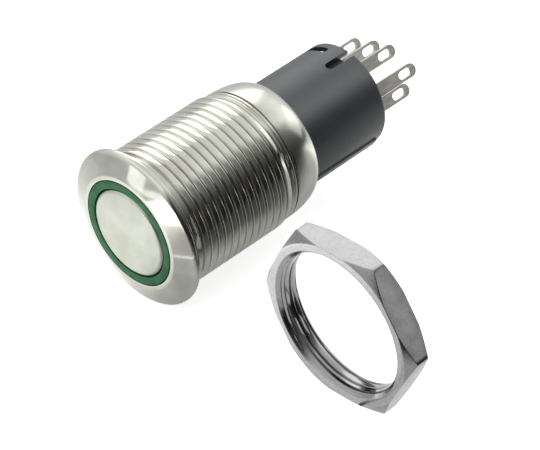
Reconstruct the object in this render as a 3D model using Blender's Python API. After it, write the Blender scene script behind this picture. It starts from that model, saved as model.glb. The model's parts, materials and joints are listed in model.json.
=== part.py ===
"""Illuminated push button switch for a 16 mm panel hole, with its mounting nut.

Depth is measured along the switch's axis, from the button's front face towards the solder tails.
Each piece is modelled with its axis along local +Z, which the empty "switch_axis" lays along world +Y.
The empty "contact_frame" turns the cross-section so that its X axis runs across the flat solder tails
and its Y axis runs along their width.
"""

import math

import bmesh
import bpy
from mathutils import Matrix, Vector

# Clearances
FIT = 0.0001
RUNNING = 0.00015
LOOSE_FIT = 0.0003

# Facets round a circle
ROUND = 36
BUTTON_ROUND = 32
HIDDEN_ROUND = 22
PIN_ROUND = 10

# Travel
BUTTON_TRAVEL = 0.0025
SWING_DEGREES = 10.0

# Thread. Each flank takes this part of the pitch.
THREAD_DIAMETER = 0.0159
THREAD_PITCH = 0.0010
THREAD_LENGTH = 0.0142
THREAD_FLANK = 0.2
THREAD_CREST = THREAD_DIAMETER / 2
THREAD_DEPTH = 0.4 * THREAD_PITCH
THREAD_ROOT = THREAD_CREST - THREAD_DEPTH

# Metal body: flange, threaded barrel and domed collar, turned in one piece
FACE_DEPTH = 0.0001
FLANGE_OVERHANG = 0.00105
FLANGE_RADIUS = THREAD_CREST + FLANGE_OVERHANG
FLANGE_BEVEL_DEPTH = 0.00085
FLANGE_CORNER = 0.0003
FLANGE_RIM = 0.00035
BEVEL_END = FACE_DEPTH + FLANGE_BEVEL_DEPTH
SEAT_DEPTH = BEVEL_END + FLANGE_CORNER + FLANGE_RIM
BODY_WALL = 0.0014
BORE_RADIUS = THREAD_ROOT - BODY_WALL
LIP_WIDTH = 0.0005
PILOT_RADIUS = THREAD_CREST + FIT / 2
PILOT_LENGTH = 0.0003
THREAD_START = SEAT_DEPTH + 2 * PILOT_LENGTH
THREAD_END = THREAD_START + THREAD_LENGTH
LAND_WIDTH = 0.00025
LAND_RADIUS = THREAD_ROOT + 0.4 * THREAD_DEPTH
GROOVE_WIDTH = 0.0002
GROOVE_RADIUS = THREAD_ROOT - GROOVE_WIDTH
COLLAR_START = THREAD_END + 2 * LAND_WIDTH + GROOVE_WIDTH
COLLAR_LENGTH = 0.00395
COLLAR_STEPS = 4
COLLAR_EDGE = 0.0003
COLLAR_REAR_RADIUS = BORE_RADIUS + COLLAR_EDGE
BODY_REAR = COLLAR_START + COLLAR_LENGTH

# Button
RING_WALL = 0.0010
RING_INNER = BORE_RADIUS - RING_WALL
BUTTON_RADIUS = RING_INNER - RUNNING
BUTTON_LENGTH = 0.0052
BUTTON_EDGE = 0.0004
SEAL_GROOVE_DEPTH = 0.00075
SEAL_GROOVE_WIDTH = 1.5 * SEAL_GROOVE_DEPTH
SEAL_GROOVE_START = BUTTON_LENGTH / 2
SEAL_SECTION = (SEAL_GROOVE_DEPTH - FIT) / 2
POCKET_INNER = 0.45 * BUTTON_RADIUS
POCKET_OUTER = 0.77 * BUTTON_RADIUS
POCKET_DEPTH = BUTTON_LENGTH / 4
STEM_RADIUS = BUTTON_RADIUS / 3

# Light ring and the lamps behind it
RING_OUTER = BORE_RADIUS - FIT
LAMP_COUNT = 4
LAMP_LENGTH = 0.0012
LAMP_HEIGHT = 0.0007
LAMP_DEPTH = 0.8 * (RING_OUTER - RING_INNER)
LAMP_RADIUS = (RING_INNER + RING_OUTER) / 2
LAMP_GAP = 0.0004
LAMP_SPACE = 0.0011
LAMP_FRONT = BUTTON_LENGTH + BUTTON_TRAVEL + LAMP_GAP
RING_REAR = LAMP_FRONT - LAMP_SPACE

# Light board, guide bush, retaining clip and return spring
BOARD_THICKNESS = 0.0008
BOARD_INNER = 0.69 * RING_OUTER
BOARD_FRONT = LAMP_FRONT + LAMP_HEIGHT + FIT
GUIDE_LENGTH = 0.0029
GUIDE_FRONT = BOARD_FRONT + BOARD_THICKNESS + FIT
GUIDE_REAR = GUIDE_FRONT + GUIDE_LENGTH
SPIGOT_LENGTH = 0.0008
SPIGOT_RADIUS = 0.49 * BUTTON_RADIUS
CLIP_THICKNESS = 0.0004
CLIP_GROOVE_RADIUS = BUTTON_RADIUS / 4
CLIP_RADIUS = 0.57 * BUTTON_RADIUS
CLIP_OPENING_DEGREES = 70.0
CLIP_FRONT = GUIDE_REAR + LOOSE_FIT
CLIP_REAR = CLIP_FRONT + CLIP_THICKNESS
STEM_TAIL = 0.0016
STEM_END = CLIP_REAR + STEM_TAIL
SPRING_TURNS = 5
SPRING_RADIUS = (POCKET_INNER + POCKET_OUTER) / 2
SPRING_WIRE = 0.1375 * (POCKET_OUTER - POCKET_INNER)

# Plunger on the button's stem, with the wedge that moves the contact blade
PLUNGER_SOCKET_RADIUS = 0.53 * BUTTON_RADIUS
PLUNGER_BODY_RADIUS = 2 / 3 * BUTTON_RADIUS
PLUNGER_BODY_LENGTH = 0.0016
PLUNGER_FRONT = CLIP_REAR + LOOSE_FIT
PLUNGER_REAR = STEM_END + FIT + PLUNGER_BODY_LENGTH
WEDGE_WIDTH = 0.0009
WEDGE_DEPTH = 0.0013
WEDGE_OVERLAP = 0.0004

# Contact blade, its pivot and the contact rivets
BLADE_GAP = 0.0004
BLADE_LENGTH = 0.0052
BLADE_THICKNESS = 0.0003
BLADE_WIDTH = 0.0014
BLADE_TAB_LENGTH = 0.0008
BLADE_TIP = PLUNGER_REAR + BUTTON_TRAVEL + BLADE_GAP
PIVOT_DEPTH = BLADE_TIP + BLADE_LENGTH
WEDGE_END = BLADE_TIP + WEDGE_OVERLAP
EYE_RADIUS = 0.00055
PIN_RADIUS = 0.45 * EYE_RADIUS
EAR_THICKNESS = BLADE_THICKNESS
EAR_RADIUS = EYE_RADIUS + FIT / 2
FORK_REACH = BLADE_WIDTH / 2 + FIT + EAR_THICKNESS
FORK_FRONT = PIVOT_DEPTH + EYE_RADIUS + LOOSE_FIT
FORK_LENGTH = 0.00085
CONTACT_INSET = 0.0010
CONTACT_DEPTH = BLADE_TIP + CONTACT_INSET
RIVET_HEAD = 0.0005
RIVET_HEAD_HEIGHT = 0.0003
RIVET_SHANK = RIVET_HEAD / 2
RIVET_TAIL_HEIGHT = 0.00015
RIVET_FACE = BLADE_THICKNESS / 2 + FIT / 2 + RIVET_HEAD_HEIGHT
NC_RIVET_HEIGHT = 0.00045
NO_RIVET_HEIGHT = 0.0006
SWING = math.radians(SWING_DEGREES)
OPEN_FACE = (
    (PIVOT_DEPTH - CONTACT_DEPTH) * math.sin(SWING)
    + RIVET_FACE * math.cos(SWING)
    + RIVET_HEAD * math.sin(SWING)
)

# Terminal block and plastic rear housing
BLOCK_LENGTH = 0.0045
BLOCK_FRONT = FORK_FRONT + FORK_LENGTH
BLOCK_REAR = BLOCK_FRONT + BLOCK_LENGTH
HOUSING_RADIUS = BORE_RADIUS - FIT
HOUSING_FRONT = GUIDE_REAR + LOOSE_FIT
HOUSING_RIM = 0.0011
HOUSING_REAR = BLOCK_REAR + HOUSING_RIM
HOUSING_CAVITY = 0.81 * HOUSING_RADIUS
SKIRT_WALL = 0.00055
HOUSING_SKIRT = HOUSING_RADIUS - SKIRT_WALL
HOUSING_ROUNDING = 0.0004
HOUSING_SEAL_DEPTH = 0.00045
HOUSING_SEAL_WIDTH = 1.5 * HOUSING_SEAL_DEPTH
HOUSING_SEAL_SECTION = (HOUSING_SEAL_DEPTH - FIT / 2) / 2
HOUSING_SEAL_START = HOUSING_FRONT + 2 * HOUSING_SEAL_WIDTH
KEY_RIB_ANGLE = -38.0
KEY_RIB_WIDTH = 0.0018
KEY_RIB_HEIGHT = 0.0002
AXIAL_SLOT_ANGLE = 77.0
AXIAL_SLOT_WIDTH = 0.0010
AXIAL_SLOT_LENGTH = 0.0038
ROUND_SLOT_ANGLES = (97.0, 126.0)
ROUND_SLOT_WIDTH = 0.0009
ROUND_SLOT_INSET = 0.0016

# Stamped terminals. Each place is a part of the housing skirt's radius, in the contact frame.
CONTACT_FRAME_ANGLE = 28.0
STRIP_THICKNESS = 0.0005
STRIP_SEAT = STRIP_THICKNESS / 2 + FIT / 2
TAIL_THICKNESS = 0.8 * STRIP_THICKNESS
TAIL_WIDTH = 0.0015
TAIL_LENGTH = 0.0065
TAIL_TIP = HOUSING_REAR + TAIL_LENGTH
TAIL_COIN_DEPTH = HOUSING_REAR + LOOSE_FIT
TAIL_HOLE_LENGTH = 0.0017
TAIL_HOLE_WIDTH = 0.00085
TAIL_HOLE_FROM_TIP = 0.0016
SHOULDER_INSET = 0.0010
SHOULDER_DEPTH = BLOCK_REAR - SHOULDER_INSET
NC_PLACE = (-0.538 * HOUSING_SKIRT, -0.575 * HOUSING_SKIRT)
COMMON_PLACE = (0.0, -0.473 * HOUSING_SKIRT)
NO_PLACE = (OPEN_FACE + FIT + NO_RIVET_HEIGHT + STRIP_SEAT, -0.344 * HOUSING_SKIRT)
LAMP_PLUS_PLACE = (0.795 * HOUSING_SKIRT, 0.093 * HOUSING_SKIRT)
LAMP_MINUS_PLACE = (0.336 * HOUSING_SKIRT, 0.509 * HOUSING_SKIRT)
CONTACT_LINE = COMMON_PLACE[1]
WEDGE_RIGHT = CONTACT_LINE + BLADE_WIDTH / 2 + LOOSE_FIT
STRIP_FRONT = BLADE_TIP + 2 * FIT
NC_STRIP = (CONTACT_LINE - 0.72 * BLADE_WIDTH, CONTACT_LINE + BLADE_WIDTH / 2)
NO_STRIP = (CONTACT_LINE - BLADE_WIDTH / 2, NO_PLACE[1] + TAIL_WIDTH / 2)
NC_INNER_PLACE = -(RIVET_FACE + FIT + NC_RIVET_HEIGHT + STRIP_SEAT)
NC_JOG = (BLADE_TIP + 0.65 * BLADE_LENGTH, BLADE_TIP + 0.96 * BLADE_LENGTH)
LAMP_STRIP_LENGTH = 0.0013
LAMP_STRIP_FRONT = BLOCK_FRONT - LAMP_STRIP_LENGTH

# Leads from the light board to its two terminals
LEAD_RADIUS = 0.00025
LEAD_CIRCLE = 0.72 * HOUSING_RADIUS
LEAD_BEND_LENGTH = 0.0037
LEAD_BEND_DEPTH = LAMP_STRIP_FRONT - LEAD_BEND_LENGTH

# Mounting nut, which stands on the same floor as the flange
NUT_WALL = 0.0009
NUT_THREAD_CLEARANCE = 0.00015
NUT_ROOT = THREAD_CREST + NUT_THREAD_CLEARANCE
NUT_CREST = THREAD_ROOT + NUT_THREAD_CLEARANCE
NUT_ACROSS_FLATS = 2 * (NUT_ROOT + NUT_WALL)
NUT_THICKNESS = 0.0029
NUT_FACE_INSET = 0.0002
NUT_FACE_RADIUS = NUT_ACROSS_FLATS / 2 - NUT_FACE_INSET
NUT_CHAMFER_DEGREES = 30.0
NUT_COUNTERSINK = 0.00025
NUT_GAP = 0.0074
NUT_DEPTH = 0.00435
NUT_PLACE = (
    FLANGE_RADIUS + NUT_GAP + NUT_ACROSS_FLATS / math.sqrt(3),
    NUT_DEPTH,
    NUT_ACROSS_FLATS / 2 - FLANGE_RADIUS,
)


def clear_scene():
    for obj in list(bpy.data.objects):
        bpy.data.objects.remove(obj, do_unlink=True)


def material(name, colour, roughness, metallic=0.0, transmission=0.0):
    """A Principled material with one colour."""
    made = bpy.data.materials.new(name)
    made.use_nodes = True
    shader = made.node_tree.nodes["Principled BSDF"]
    shader.inputs["Base Color"].default_value = (*colour, 1.0)
    shader.inputs["Roughness"].default_value = roughness
    shader.inputs["Metallic"].default_value = metallic
    shader.inputs["Transmission Weight"].default_value = transmission
    made.diffuse_color = (*colour, 1.0)
    return made


def empty(name, parent=None, location=(0.0, 0.0, 0.0), rotation=(0.0, 0.0, 0.0)):
    made = bpy.data.objects.new(name, None)
    made.empty_display_size = THREAD_CREST
    made.location = location
    made.rotation_euler = rotation
    made.parent = parent
    bpy.context.scene.collection.objects.link(made)
    return made


def link(name, data, parent, colour=None):
    """Makes an object of this data, with its own material if a colour is given."""
    obj = bpy.data.objects.new(name, data)
    obj.parent = parent
    if colour:
        data.materials.append(material(name, *colour))
    bpy.context.scene.collection.objects.link(obj)
    return obj


def mesh_object(name, bm, parent, colour=None, sharp_degrees=35.0):
    bmesh.ops.recalc_face_normals(bm, faces=bm.faces)
    mesh = bpy.data.meshes.new(name)
    bm.to_mesh(mesh)
    bm.free()
    mesh.shade_smooth()
    mesh.set_sharp_from_angle(angle=math.radians(sharp_degrees))
    return link(name, mesh, parent, colour)


def cutter(name, bm, parent):
    """A hidden helper for a Boolean."""
    obj = mesh_object(name, bm, parent)
    obj.hide_render = True
    obj.display_type = "WIRE"
    return obj


def boolean(obj, other, operation="DIFFERENCE"):
    modifier = obj.modifiers.new(other.name, "BOOLEAN")
    modifier.operation = operation
    modifier.object = other
    modifier.solver = "EXACT"


def turned(profile, segments=ROUND, degrees=360.0, axis=(0.0, 0.0, 1.0), across=(1.0, 0.0, 0.0)):
    """A turned solid. The profile is a closed loop of (radius, depth) points."""
    bm = bmesh.new()
    axis, across = Vector(axis), Vector(across)
    verts = [bm.verts.new(across * radius + axis * depth) for radius, depth in profile]
    edges = [bm.edges.new((verts[i - 1], verts[i])) for i in range(len(verts))]
    whole = degrees >= 360.0
    start = verts + edges if whole else [bm.faces.new(verts)]
    bmesh.ops.spin(
        bm,
        geom=start,
        cent=(0.0, 0.0, 0.0),
        axis=axis,
        angle=math.radians(degrees),
        steps=segments,
        use_merge=whole,
    )
    bmesh.ops.remove_doubles(bm, verts=bm.verts, dist=1e-7)
    bmesh.ops.dissolve_degenerate(bm, dist=1e-8, edges=bm.edges)
    if whole:
        loose = [edge for edge in bm.edges if not edge.link_faces]
        bmesh.ops.delete(bm, geom=loose, context="EDGES")
    return bm


def prism(outline, place, direction):
    """An extruded solid. place turns an outline point into a position, and direction is the extrusion."""
    bm = bmesh.new()
    face = bm.faces.new([bm.verts.new(place(*point)) for point in outline])
    extruded = bmesh.ops.extrude_face_region(bm, geom=[face])
    moved = [item for item in extruded["geom"] if isinstance(item, bmesh.types.BMVert)]
    bmesh.ops.translate(bm, verts=moved, vec=direction)
    return bm


def box(low, high):
    bm = bmesh.new()
    bmesh.ops.create_cube(bm, size=1.0)
    size = Vector(high) - Vector(low)
    bmesh.ops.scale(bm, verts=bm.verts, vec=size)
    bmesh.ops.translate(bm, verts=bm.verts, vec=(Vector(high) + Vector(low)) / 2)
    return bm


def around(centre, radius, degrees):
    angle = math.radians(degrees)
    return centre[0] + radius * math.cos(angle), centre[1] + radius * math.sin(angle)


def arc(centre, radius, start_degrees, end_degrees, steps):
    """Points along an arc, both ends included."""
    sweep = end_degrees - start_degrees
    return [around(centre, radius, start_degrees + sweep * i / steps) for i in range(steps + 1)]


def stadium(centre, length, width, steps=5):
    """A slot outline with round ends, long along its second coordinate."""
    half = (length - width) / 2
    high = arc((centre[0], centre[1] + half), width / 2, 0, 180, steps)
    low = arc((centre[0], centre[1] - half), width / 2, 180, 360, steps)
    return high + low


def ring_of(bm, radius, depth, segments):
    points = [around((0.0, 0.0), radius, 360 * i / segments) for i in range(segments)]
    return [bm.verts.new((*point, depth)) for point in points]


def join_rings(bm, rings):
    """Bands of quads between each ring and the next."""
    for lower, upper in zip(rings, rings[1:]):
        for i in range(len(lower)):
            bm.faces.new((lower[i - 1], lower[i], upper[i], upper[i - 1]))


def helix_rows(bm, first, last, start, end, root, crest):
    """A helical thread between two rings of the root radius.

    Every column of points repeats the thread's profile and starts a little deeper than the one before it,
    so that after a full circle it is one pitch on. The thread rises and fades over its end turns.
    """
    segments = len(first)
    pitch = THREAD_PITCH
    turns = int((end - start) / pitch + 1e-6) - 1
    marks = ((0.0, 0.0), (THREAD_FLANK, 1.0), (1.0 - THREAD_FLANK, 1.0))
    columns = []
    for i in range(segments):
        column = []
        for turn in range(turns + 1):
            for fraction, height in marks if turn < turns else marks[:1]:
                depth = start + pitch * (i / segments + turn + fraction)
                reach = min(depth - start, end - depth) / pitch
                height = height * min(1.0, 0.25 + 0.75 * max(reach, 0.0))
                point = around((0.0, 0.0), root + (crest - root) * height, 360 * i / segments)
                column.append(bm.verts.new((*point, depth)))
        columns.append(column)
    for i in range(segments):
        step = 0 if i else len(marks)
        left, right = columns[i - 1], columns[i]
        for j in range(len(left) - 1 - step):
            bm.faces.new((left[j], right[j + step], right[j + step + 1], left[j + 1]))
        if i:
            bm.faces.new((first[i - 1], first[i], right[0], left[0]))
            bm.faces.new((left[-1], right[-1], last[i], last[i - 1]))
    left, right = columns[-1], columns[0]
    bm.faces.new(right[:4])
    bm.faces.new(left[-4:])
    for low, high in ((first[-1], first[0]), (first[0], right[0]), (right[0], right[3])):
        bm.faces.new((low, high, left[0]))
    for low, high in ((left[-4], left[-1]), (left[-1], last[-1]), (last[-1], last[0])):
        bm.faces.new((low, high, right[-1]))


def make_bezel_body(parent):
    """Bevelled flange, threaded barrel and domed collar around a plain bore."""
    bm = bmesh.new()
    before = [
        (BORE_RADIUS, FACE_DEPTH),
        (BORE_RADIUS + LIP_WIDTH, FACE_DEPTH),
        (FLANGE_RADIUS - FLANGE_CORNER, BEVEL_END),
        (FLANGE_RADIUS, BEVEL_END + FLANGE_CORNER),
        (FLANGE_RADIUS, SEAT_DEPTH),
        (PILOT_RADIUS, SEAT_DEPTH),
        (PILOT_RADIUS, SEAT_DEPTH + PILOT_LENGTH),
        (THREAD_ROOT, THREAD_START),
    ]
    drop = (LAND_RADIUS - COLLAR_REAR_RADIUS) / COLLAR_LENGTH
    dome = [
        (COLLAR_REAR_RADIUS + drop * across, COLLAR_START + along)
        for across, along in arc((0.0, 0.0), COLLAR_LENGTH, 0, 90, COLLAR_STEPS)
    ]
    after = [
        (THREAD_ROOT, THREAD_END),
        (LAND_RADIUS, THREAD_END + LAND_WIDTH),
        (LAND_RADIUS, THREAD_END + 2 * LAND_WIDTH),
        (GROOVE_RADIUS, THREAD_END + 2 * LAND_WIDTH),
        (GROOVE_RADIUS, COLLAR_START),
        *dome,
        (BORE_RADIUS, BODY_REAR),
    ]
    front = [ring_of(bm, radius, depth, ROUND) for radius, depth in before]
    back = [ring_of(bm, radius, depth, ROUND) for radius, depth in after]
    join_rings(bm, front)
    join_rings(bm, back + front[:1])
    helix_rows(bm, front[-1], back[0], THREAD_START, THREAD_END, THREAD_ROOT, THREAD_CREST)
    return mesh_object("bezel_body", bm, parent, ((0.62, 0.60, 0.56), 0.28, 1.0))


def make_light_ring(parent):
    """Light guide: a tube from the flange's face to the lamps."""
    profile = [
        (RING_INNER, FACE_DEPTH),
        (RING_OUTER, FACE_DEPTH),
        (RING_OUTER, RING_REAR),
        (RING_INNER, RING_REAR),
    ]
    bm = turned(profile, BUTTON_ROUND)
    return mesh_object("light_ring", bm, parent, ((0.03, 0.22, 0.09), 0.35, 0.0, 0.2))


def make_button_cap(parent):
    """Turned button with a seal groove, a spring pocket and a stem with a clip groove."""
    groove_radius = BUTTON_RADIUS - SEAL_GROOVE_DEPTH
    groove_end = SEAL_GROOVE_START + SEAL_GROOVE_WIDTH
    pocket_floor = BUTTON_LENGTH - POCKET_DEPTH
    clip_start = CLIP_FRONT - FIT
    clip_end = CLIP_REAR + FIT
    profile = [
        (0.0, 0.0),
        (BUTTON_RADIUS - BUTTON_EDGE, 0.0),
        (BUTTON_RADIUS, BUTTON_EDGE),
        (BUTTON_RADIUS, SEAL_GROOVE_START),
        (groove_radius, SEAL_GROOVE_START),
        (groove_radius, groove_end),
        (BUTTON_RADIUS, groove_end),
        (BUTTON_RADIUS, BUTTON_LENGTH),
        (POCKET_OUTER, BUTTON_LENGTH),
        (POCKET_OUTER, pocket_floor),
        (POCKET_INNER, pocket_floor),
        (POCKET_INNER, BUTTON_LENGTH),
        (STEM_RADIUS, BUTTON_LENGTH + POCKET_INNER - STEM_RADIUS),
        (STEM_RADIUS, clip_start),
        (CLIP_GROOVE_RADIUS, clip_start),
        (CLIP_GROOVE_RADIUS, clip_end),
        (STEM_RADIUS, clip_end),
        (STEM_RADIUS, STEM_END),
        (0.0, STEM_END),
    ]
    return mesh_object("button_cap", turned(profile, BUTTON_ROUND), parent, ((0.74, 0.74, 0.70), 0.38, 1.0))


def make_o_ring(name, parent, mean_radius, section, depth):
    """A rubber ring of round section."""
    profile = arc((mean_radius, depth), section, 0, 300, 5)
    bm = turned(profile, HIDDEN_ROUND)
    return mesh_object(name, bm, parent, ((0.02, 0.02, 0.02), 0.7))


def make_seals(fixed, moving):
    groove_floor = BUTTON_RADIUS - SEAL_GROOVE_DEPTH
    mean = groove_floor + SEAL_SECTION + FIT / 2
    make_o_ring("button_seal", moving, mean, SEAL_SECTION, SEAL_GROOVE_START + SEAL_GROOVE_WIDTH / 2)
    floor = HOUSING_RADIUS - HOUSING_SEAL_DEPTH
    mean = floor + HOUSING_SEAL_SECTION + FIT / 2
    depth = HOUSING_SEAL_START + HOUSING_SEAL_WIDTH / 2
    make_o_ring("housing_seal", fixed, mean, HOUSING_SEAL_SECTION, depth)


def make_retaining_clip(parent):
    """Open ring that snaps into the stem's groove and stops the button at the guide."""
    inner = CLIP_GROOVE_RADIUS + FIT
    profile = [(inner, CLIP_FRONT), (CLIP_RADIUS, CLIP_FRONT), (CLIP_RADIUS, CLIP_REAR), (inner, CLIP_REAR)]
    bm = turned(profile, HIDDEN_ROUND, 360.0 - CLIP_OPENING_DEGREES)
    return mesh_object("retaining_clip", bm, parent, ((0.45, 0.45, 0.46), 0.35, 1.0))


def make_return_spring(parent):
    """Compression spring between the button's pocket and the guide, with closed end coils."""
    low = BUTTON_LENGTH - POCKET_DEPTH + FIT + SPRING_WIRE
    high = GUIDE_FRONT - FIT - SPRING_WIRE
    closed_rise = 2 * SPRING_WIRE + FIT
    open_rise = (high - low - 2 * closed_rise) / (SPRING_TURNS - 2)
    curve = bpy.data.curves.new("return_spring", "CURVE")
    curve.dimensions = "3D"
    curve.bevel_depth = SPRING_WIRE
    curve.bevel_resolution = 1
    curve.use_fill_caps = True
    steps = SPRING_TURNS * 10
    spline = curve.splines.new("POLY")
    spline.points.add(steps)
    for i, point in enumerate(spline.points):
        turn = SPRING_TURNS * i / steps
        depth = low + closed_rise * min(turn, 1.0)
        depth += open_rise * min(max(turn - 1.0, 0.0), SPRING_TURNS - 2)
        depth += closed_rise * max(turn - SPRING_TURNS + 1, 0.0)
        angle = 2 * math.pi * turn
        point.co = (SPRING_RADIUS * math.cos(angle), SPRING_RADIUS * math.sin(angle), depth, 1.0)
    return link("return_spring", curve, parent, ((0.50, 0.50, 0.50), 0.3, 1.0))


def lead_place(place):
    """The point on the lead circle in line with a terminal."""
    return tuple(Vector(place).normalized() * LEAD_CIRCLE)


def make_guide_bush(parent, contact_frame):
    """Plastic bush that guides the stem, centres the spring and lets the two leads through."""
    hole = STEM_RADIUS + RUNNING
    profile = [
        (hole, GUIDE_FRONT - SPIGOT_LENGTH),
        (SPIGOT_RADIUS, GUIDE_FRONT - SPIGOT_LENGTH),
        (SPIGOT_RADIUS, GUIDE_FRONT),
        (RING_OUTER, GUIDE_FRONT),
        (RING_OUTER, GUIDE_REAR),
        (hole, GUIDE_REAR),
    ]
    obj = mesh_object("guide_bush", turned(profile, HIDDEN_ROUND), parent, ((0.75, 0.74, 0.70), 0.5))
    for name, place in (("plus", LAMP_PLUS_PLACE), ("minus", LAMP_MINUS_PLACE)):
        low, high = GUIDE_FRONT - LOOSE_FIT, GUIDE_REAR + LOOSE_FIT
        bm = pin_shape(LEAD_RADIUS + FIT, low, high, (0.0, 0.0, 1.0), (1.0, 0.0, 0.0))
        bmesh.ops.translate(bm, verts=bm.verts, vec=(*lead_place(place), 0.0))
        boolean(obj, cutter(f"lead_hole_{name}", bm, contact_frame))
    return obj


def make_light_board(parent):
    """Ring-shaped circuit board with the lamps on its front face."""
    rear = BOARD_FRONT + BOARD_THICKNESS
    front = BOARD_FRONT
    profile = [(BOARD_INNER, front), (RING_OUTER, front), (RING_OUTER, rear), (BOARD_INNER, rear)]
    mesh_object("led_board", turned(profile, HIDDEN_ROUND), parent, ((0.03, 0.16, 0.07), 0.4))
    for i in range(LAMP_COUNT):
        turn = 2 * math.pi * (i + 0.5) / LAMP_COUNT
        low = (LAMP_RADIUS - LAMP_DEPTH / 2, -LAMP_LENGTH / 2, LAMP_FRONT)
        high = (LAMP_RADIUS + LAMP_DEPTH / 2, LAMP_LENGTH / 2, LAMP_FRONT + LAMP_HEIGHT)
        bm = box(low, high)
        front = [face for face in bm.faces if face.calc_center_median().z < LAMP_FRONT + FIT / 2]
        edges = {edge for face in front for edge in face.edges}
        bmesh.ops.bevel(bm, geom=list(edges), offset=LAMP_HEIGHT / 4, segments=2, profile=0.5, affect="EDGES")
        bmesh.ops.rotate(bm, verts=bm.verts, cent=(0.0, 0.0, 0.0), matrix=Matrix.Rotation(turn, 3, "Z"))
        mesh_object(f"led_{i + 1}", bm, parent, ((0.85, 0.85, 0.70), 0.3))


def make_plunger(parent, frame_rotation):
    """Plastic plunger on the stem's end, with the wedge that leans on the contact blade's tab."""
    socket = STEM_RADIUS + FIT
    floor = STEM_END + FIT
    profile = [
        (0.0, floor),
        (socket, floor),
        (socket, PLUNGER_FRONT),
        (PLUNGER_SOCKET_RADIUS, PLUNGER_FRONT),
        (PLUNGER_SOCKET_RADIUS, floor - LOOSE_FIT),
        (PLUNGER_BODY_RADIUS, floor),
        (PLUNGER_BODY_RADIUS, PLUNGER_REAR),
        (0.0, PLUNGER_REAR),
    ]
    obj = mesh_object("plunger", turned(profile, HIDDEN_ROUND), parent, ((0.80, 0.79, 0.75), 0.45))
    rest_face = -BLADE_THICKNESS / 2 - FIT
    swing = math.radians(SWING_DEGREES)
    rise = (BLADE_LENGTH * math.sin(swing) + BLADE_THICKNESS / 2 * (1 - math.cos(swing))) / BUTTON_TRAVEL
    root = PLUNGER_REAR - PLUNGER_BODY_LENGTH / 2
    outline = [
        (-WEDGE_DEPTH, root),
        (rest_face + rise * (BLADE_TIP - PLUNGER_REAR), root),
        (rest_face + rise * (BLADE_TIP - PLUNGER_REAR), PLUNGER_REAR),
        (rest_face, BLADE_TIP),
        (rest_face - rise * (WEDGE_END - BLADE_TIP), WEDGE_END),
        (-WEDGE_DEPTH, WEDGE_END),
    ]
    bm = prism(outline, lambda n, depth: (n, WEDGE_RIGHT, depth), (0.0, WEDGE_WIDTH, 0.0))
    bmesh.ops.rotate(bm, verts=bm.verts, cent=(0.0, 0.0, 0.0), matrix=frame_rotation)
    boolean(obj, cutter("plunger_wedge", bm, parent), "UNION")
    return obj


def wrapped_prism(outline, inner, outer):
    """A block bent round the axis. The outline's points are (angle in degrees, depth)."""
    bm = bmesh.new()
    low, high = [
        [bm.verts.new((*around((0.0, 0.0), radius, degrees), depth)) for degrees, depth in outline]
        for radius in (inner, outer)
    ]
    for i in range(len(outline)):
        bm.faces.new((low[i - 1], low[i], high[i], high[i - 1]))
    bm.faces.new(low)
    bm.faces.new(high)
    return bm


def local_angle(world_degrees):
    """World angles run from +X towards +Z, and the switch axis turns world +Z into local -Y."""
    return -world_degrees


def make_rear_housing(parent):
    """Moulded rear housing: a tube that plugs into the body, with a thin skirt, two slots and a key rib."""
    seal_end = HOUSING_SEAL_START + HOUSING_SEAL_WIDTH
    seal_floor = HOUSING_RADIUS - HOUSING_SEAL_DEPTH
    shoulder = BLOCK_FRONT - FIT
    corner = (HOUSING_RADIUS - HOUSING_ROUNDING, HOUSING_REAR - HOUSING_ROUNDING)
    profile = [
        (HOUSING_CAVITY, HOUSING_FRONT),
        (HOUSING_RADIUS, HOUSING_FRONT),
        (HOUSING_RADIUS, HOUSING_SEAL_START),
        (seal_floor, HOUSING_SEAL_START),
        (seal_floor, seal_end),
        (HOUSING_RADIUS, seal_end),
        *arc(corner, HOUSING_ROUNDING, 0, 90, 3),
        (HOUSING_SKIRT, HOUSING_REAR),
        (HOUSING_SKIRT, shoulder),
        (HOUSING_CAVITY, shoulder),
    ]
    obj = mesh_object("rear_housing", turned(profile, BUTTON_ROUND), parent, ((0.045, 0.05, 0.055), 0.55))
    middle = local_angle(KEY_RIB_ANGLE)
    half = math.degrees(KEY_RIB_WIDTH / 2 / HOUSING_RADIUS)
    rib_start = BODY_REAR + LOOSE_FIT
    corners = [(middle + half * i / 2, rib_start) for i in range(-2, 3)]
    corners += [(middle - half * i / 2, BLOCK_REAR) for i in range(-2, 3)]
    inside = (HOUSING_SKIRT + HOUSING_RADIUS) / 2
    rib = wrapped_prism(corners, inside, HOUSING_RADIUS + KEY_RIB_HEIGHT)
    boolean(obj, cutter("key_rib", rib, parent), "UNION")
    per_metre = math.degrees(1 / HOUSING_RADIUS)
    end = HOUSING_REAR + AXIAL_SLOT_WIDTH
    start = HOUSING_REAR - AXIAL_SLOT_LENGTH
    rounds = stadium((0.0, (start + end) / 2), end - start, AXIAL_SLOT_WIDTH)
    axial = [(local_angle(AXIAL_SLOT_ANGLE) + x * per_metre, depth) for x, depth in rounds]
    outside = HOUSING_RADIUS + LOOSE_FIT
    boolean(obj, cutter("axial_slot", wrapped_prism(axial, HOUSING_CAVITY, outside), parent))
    first, last = ROUND_SLOT_ANGLES
    length = (last - first) / per_metre
    rounds = stadium((0.0, 0.0), length, ROUND_SLOT_WIDTH)
    middle = local_angle((first + last) / 2)
    place = HOUSING_REAR - ROUND_SLOT_INSET
    crosswise = [(middle + x * per_metre, place + y) for y, x in rounds]
    boolean(obj, cutter("round_slot", wrapped_prism(crosswise, HOUSING_CAVITY, outside), parent))
    return obj


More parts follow.
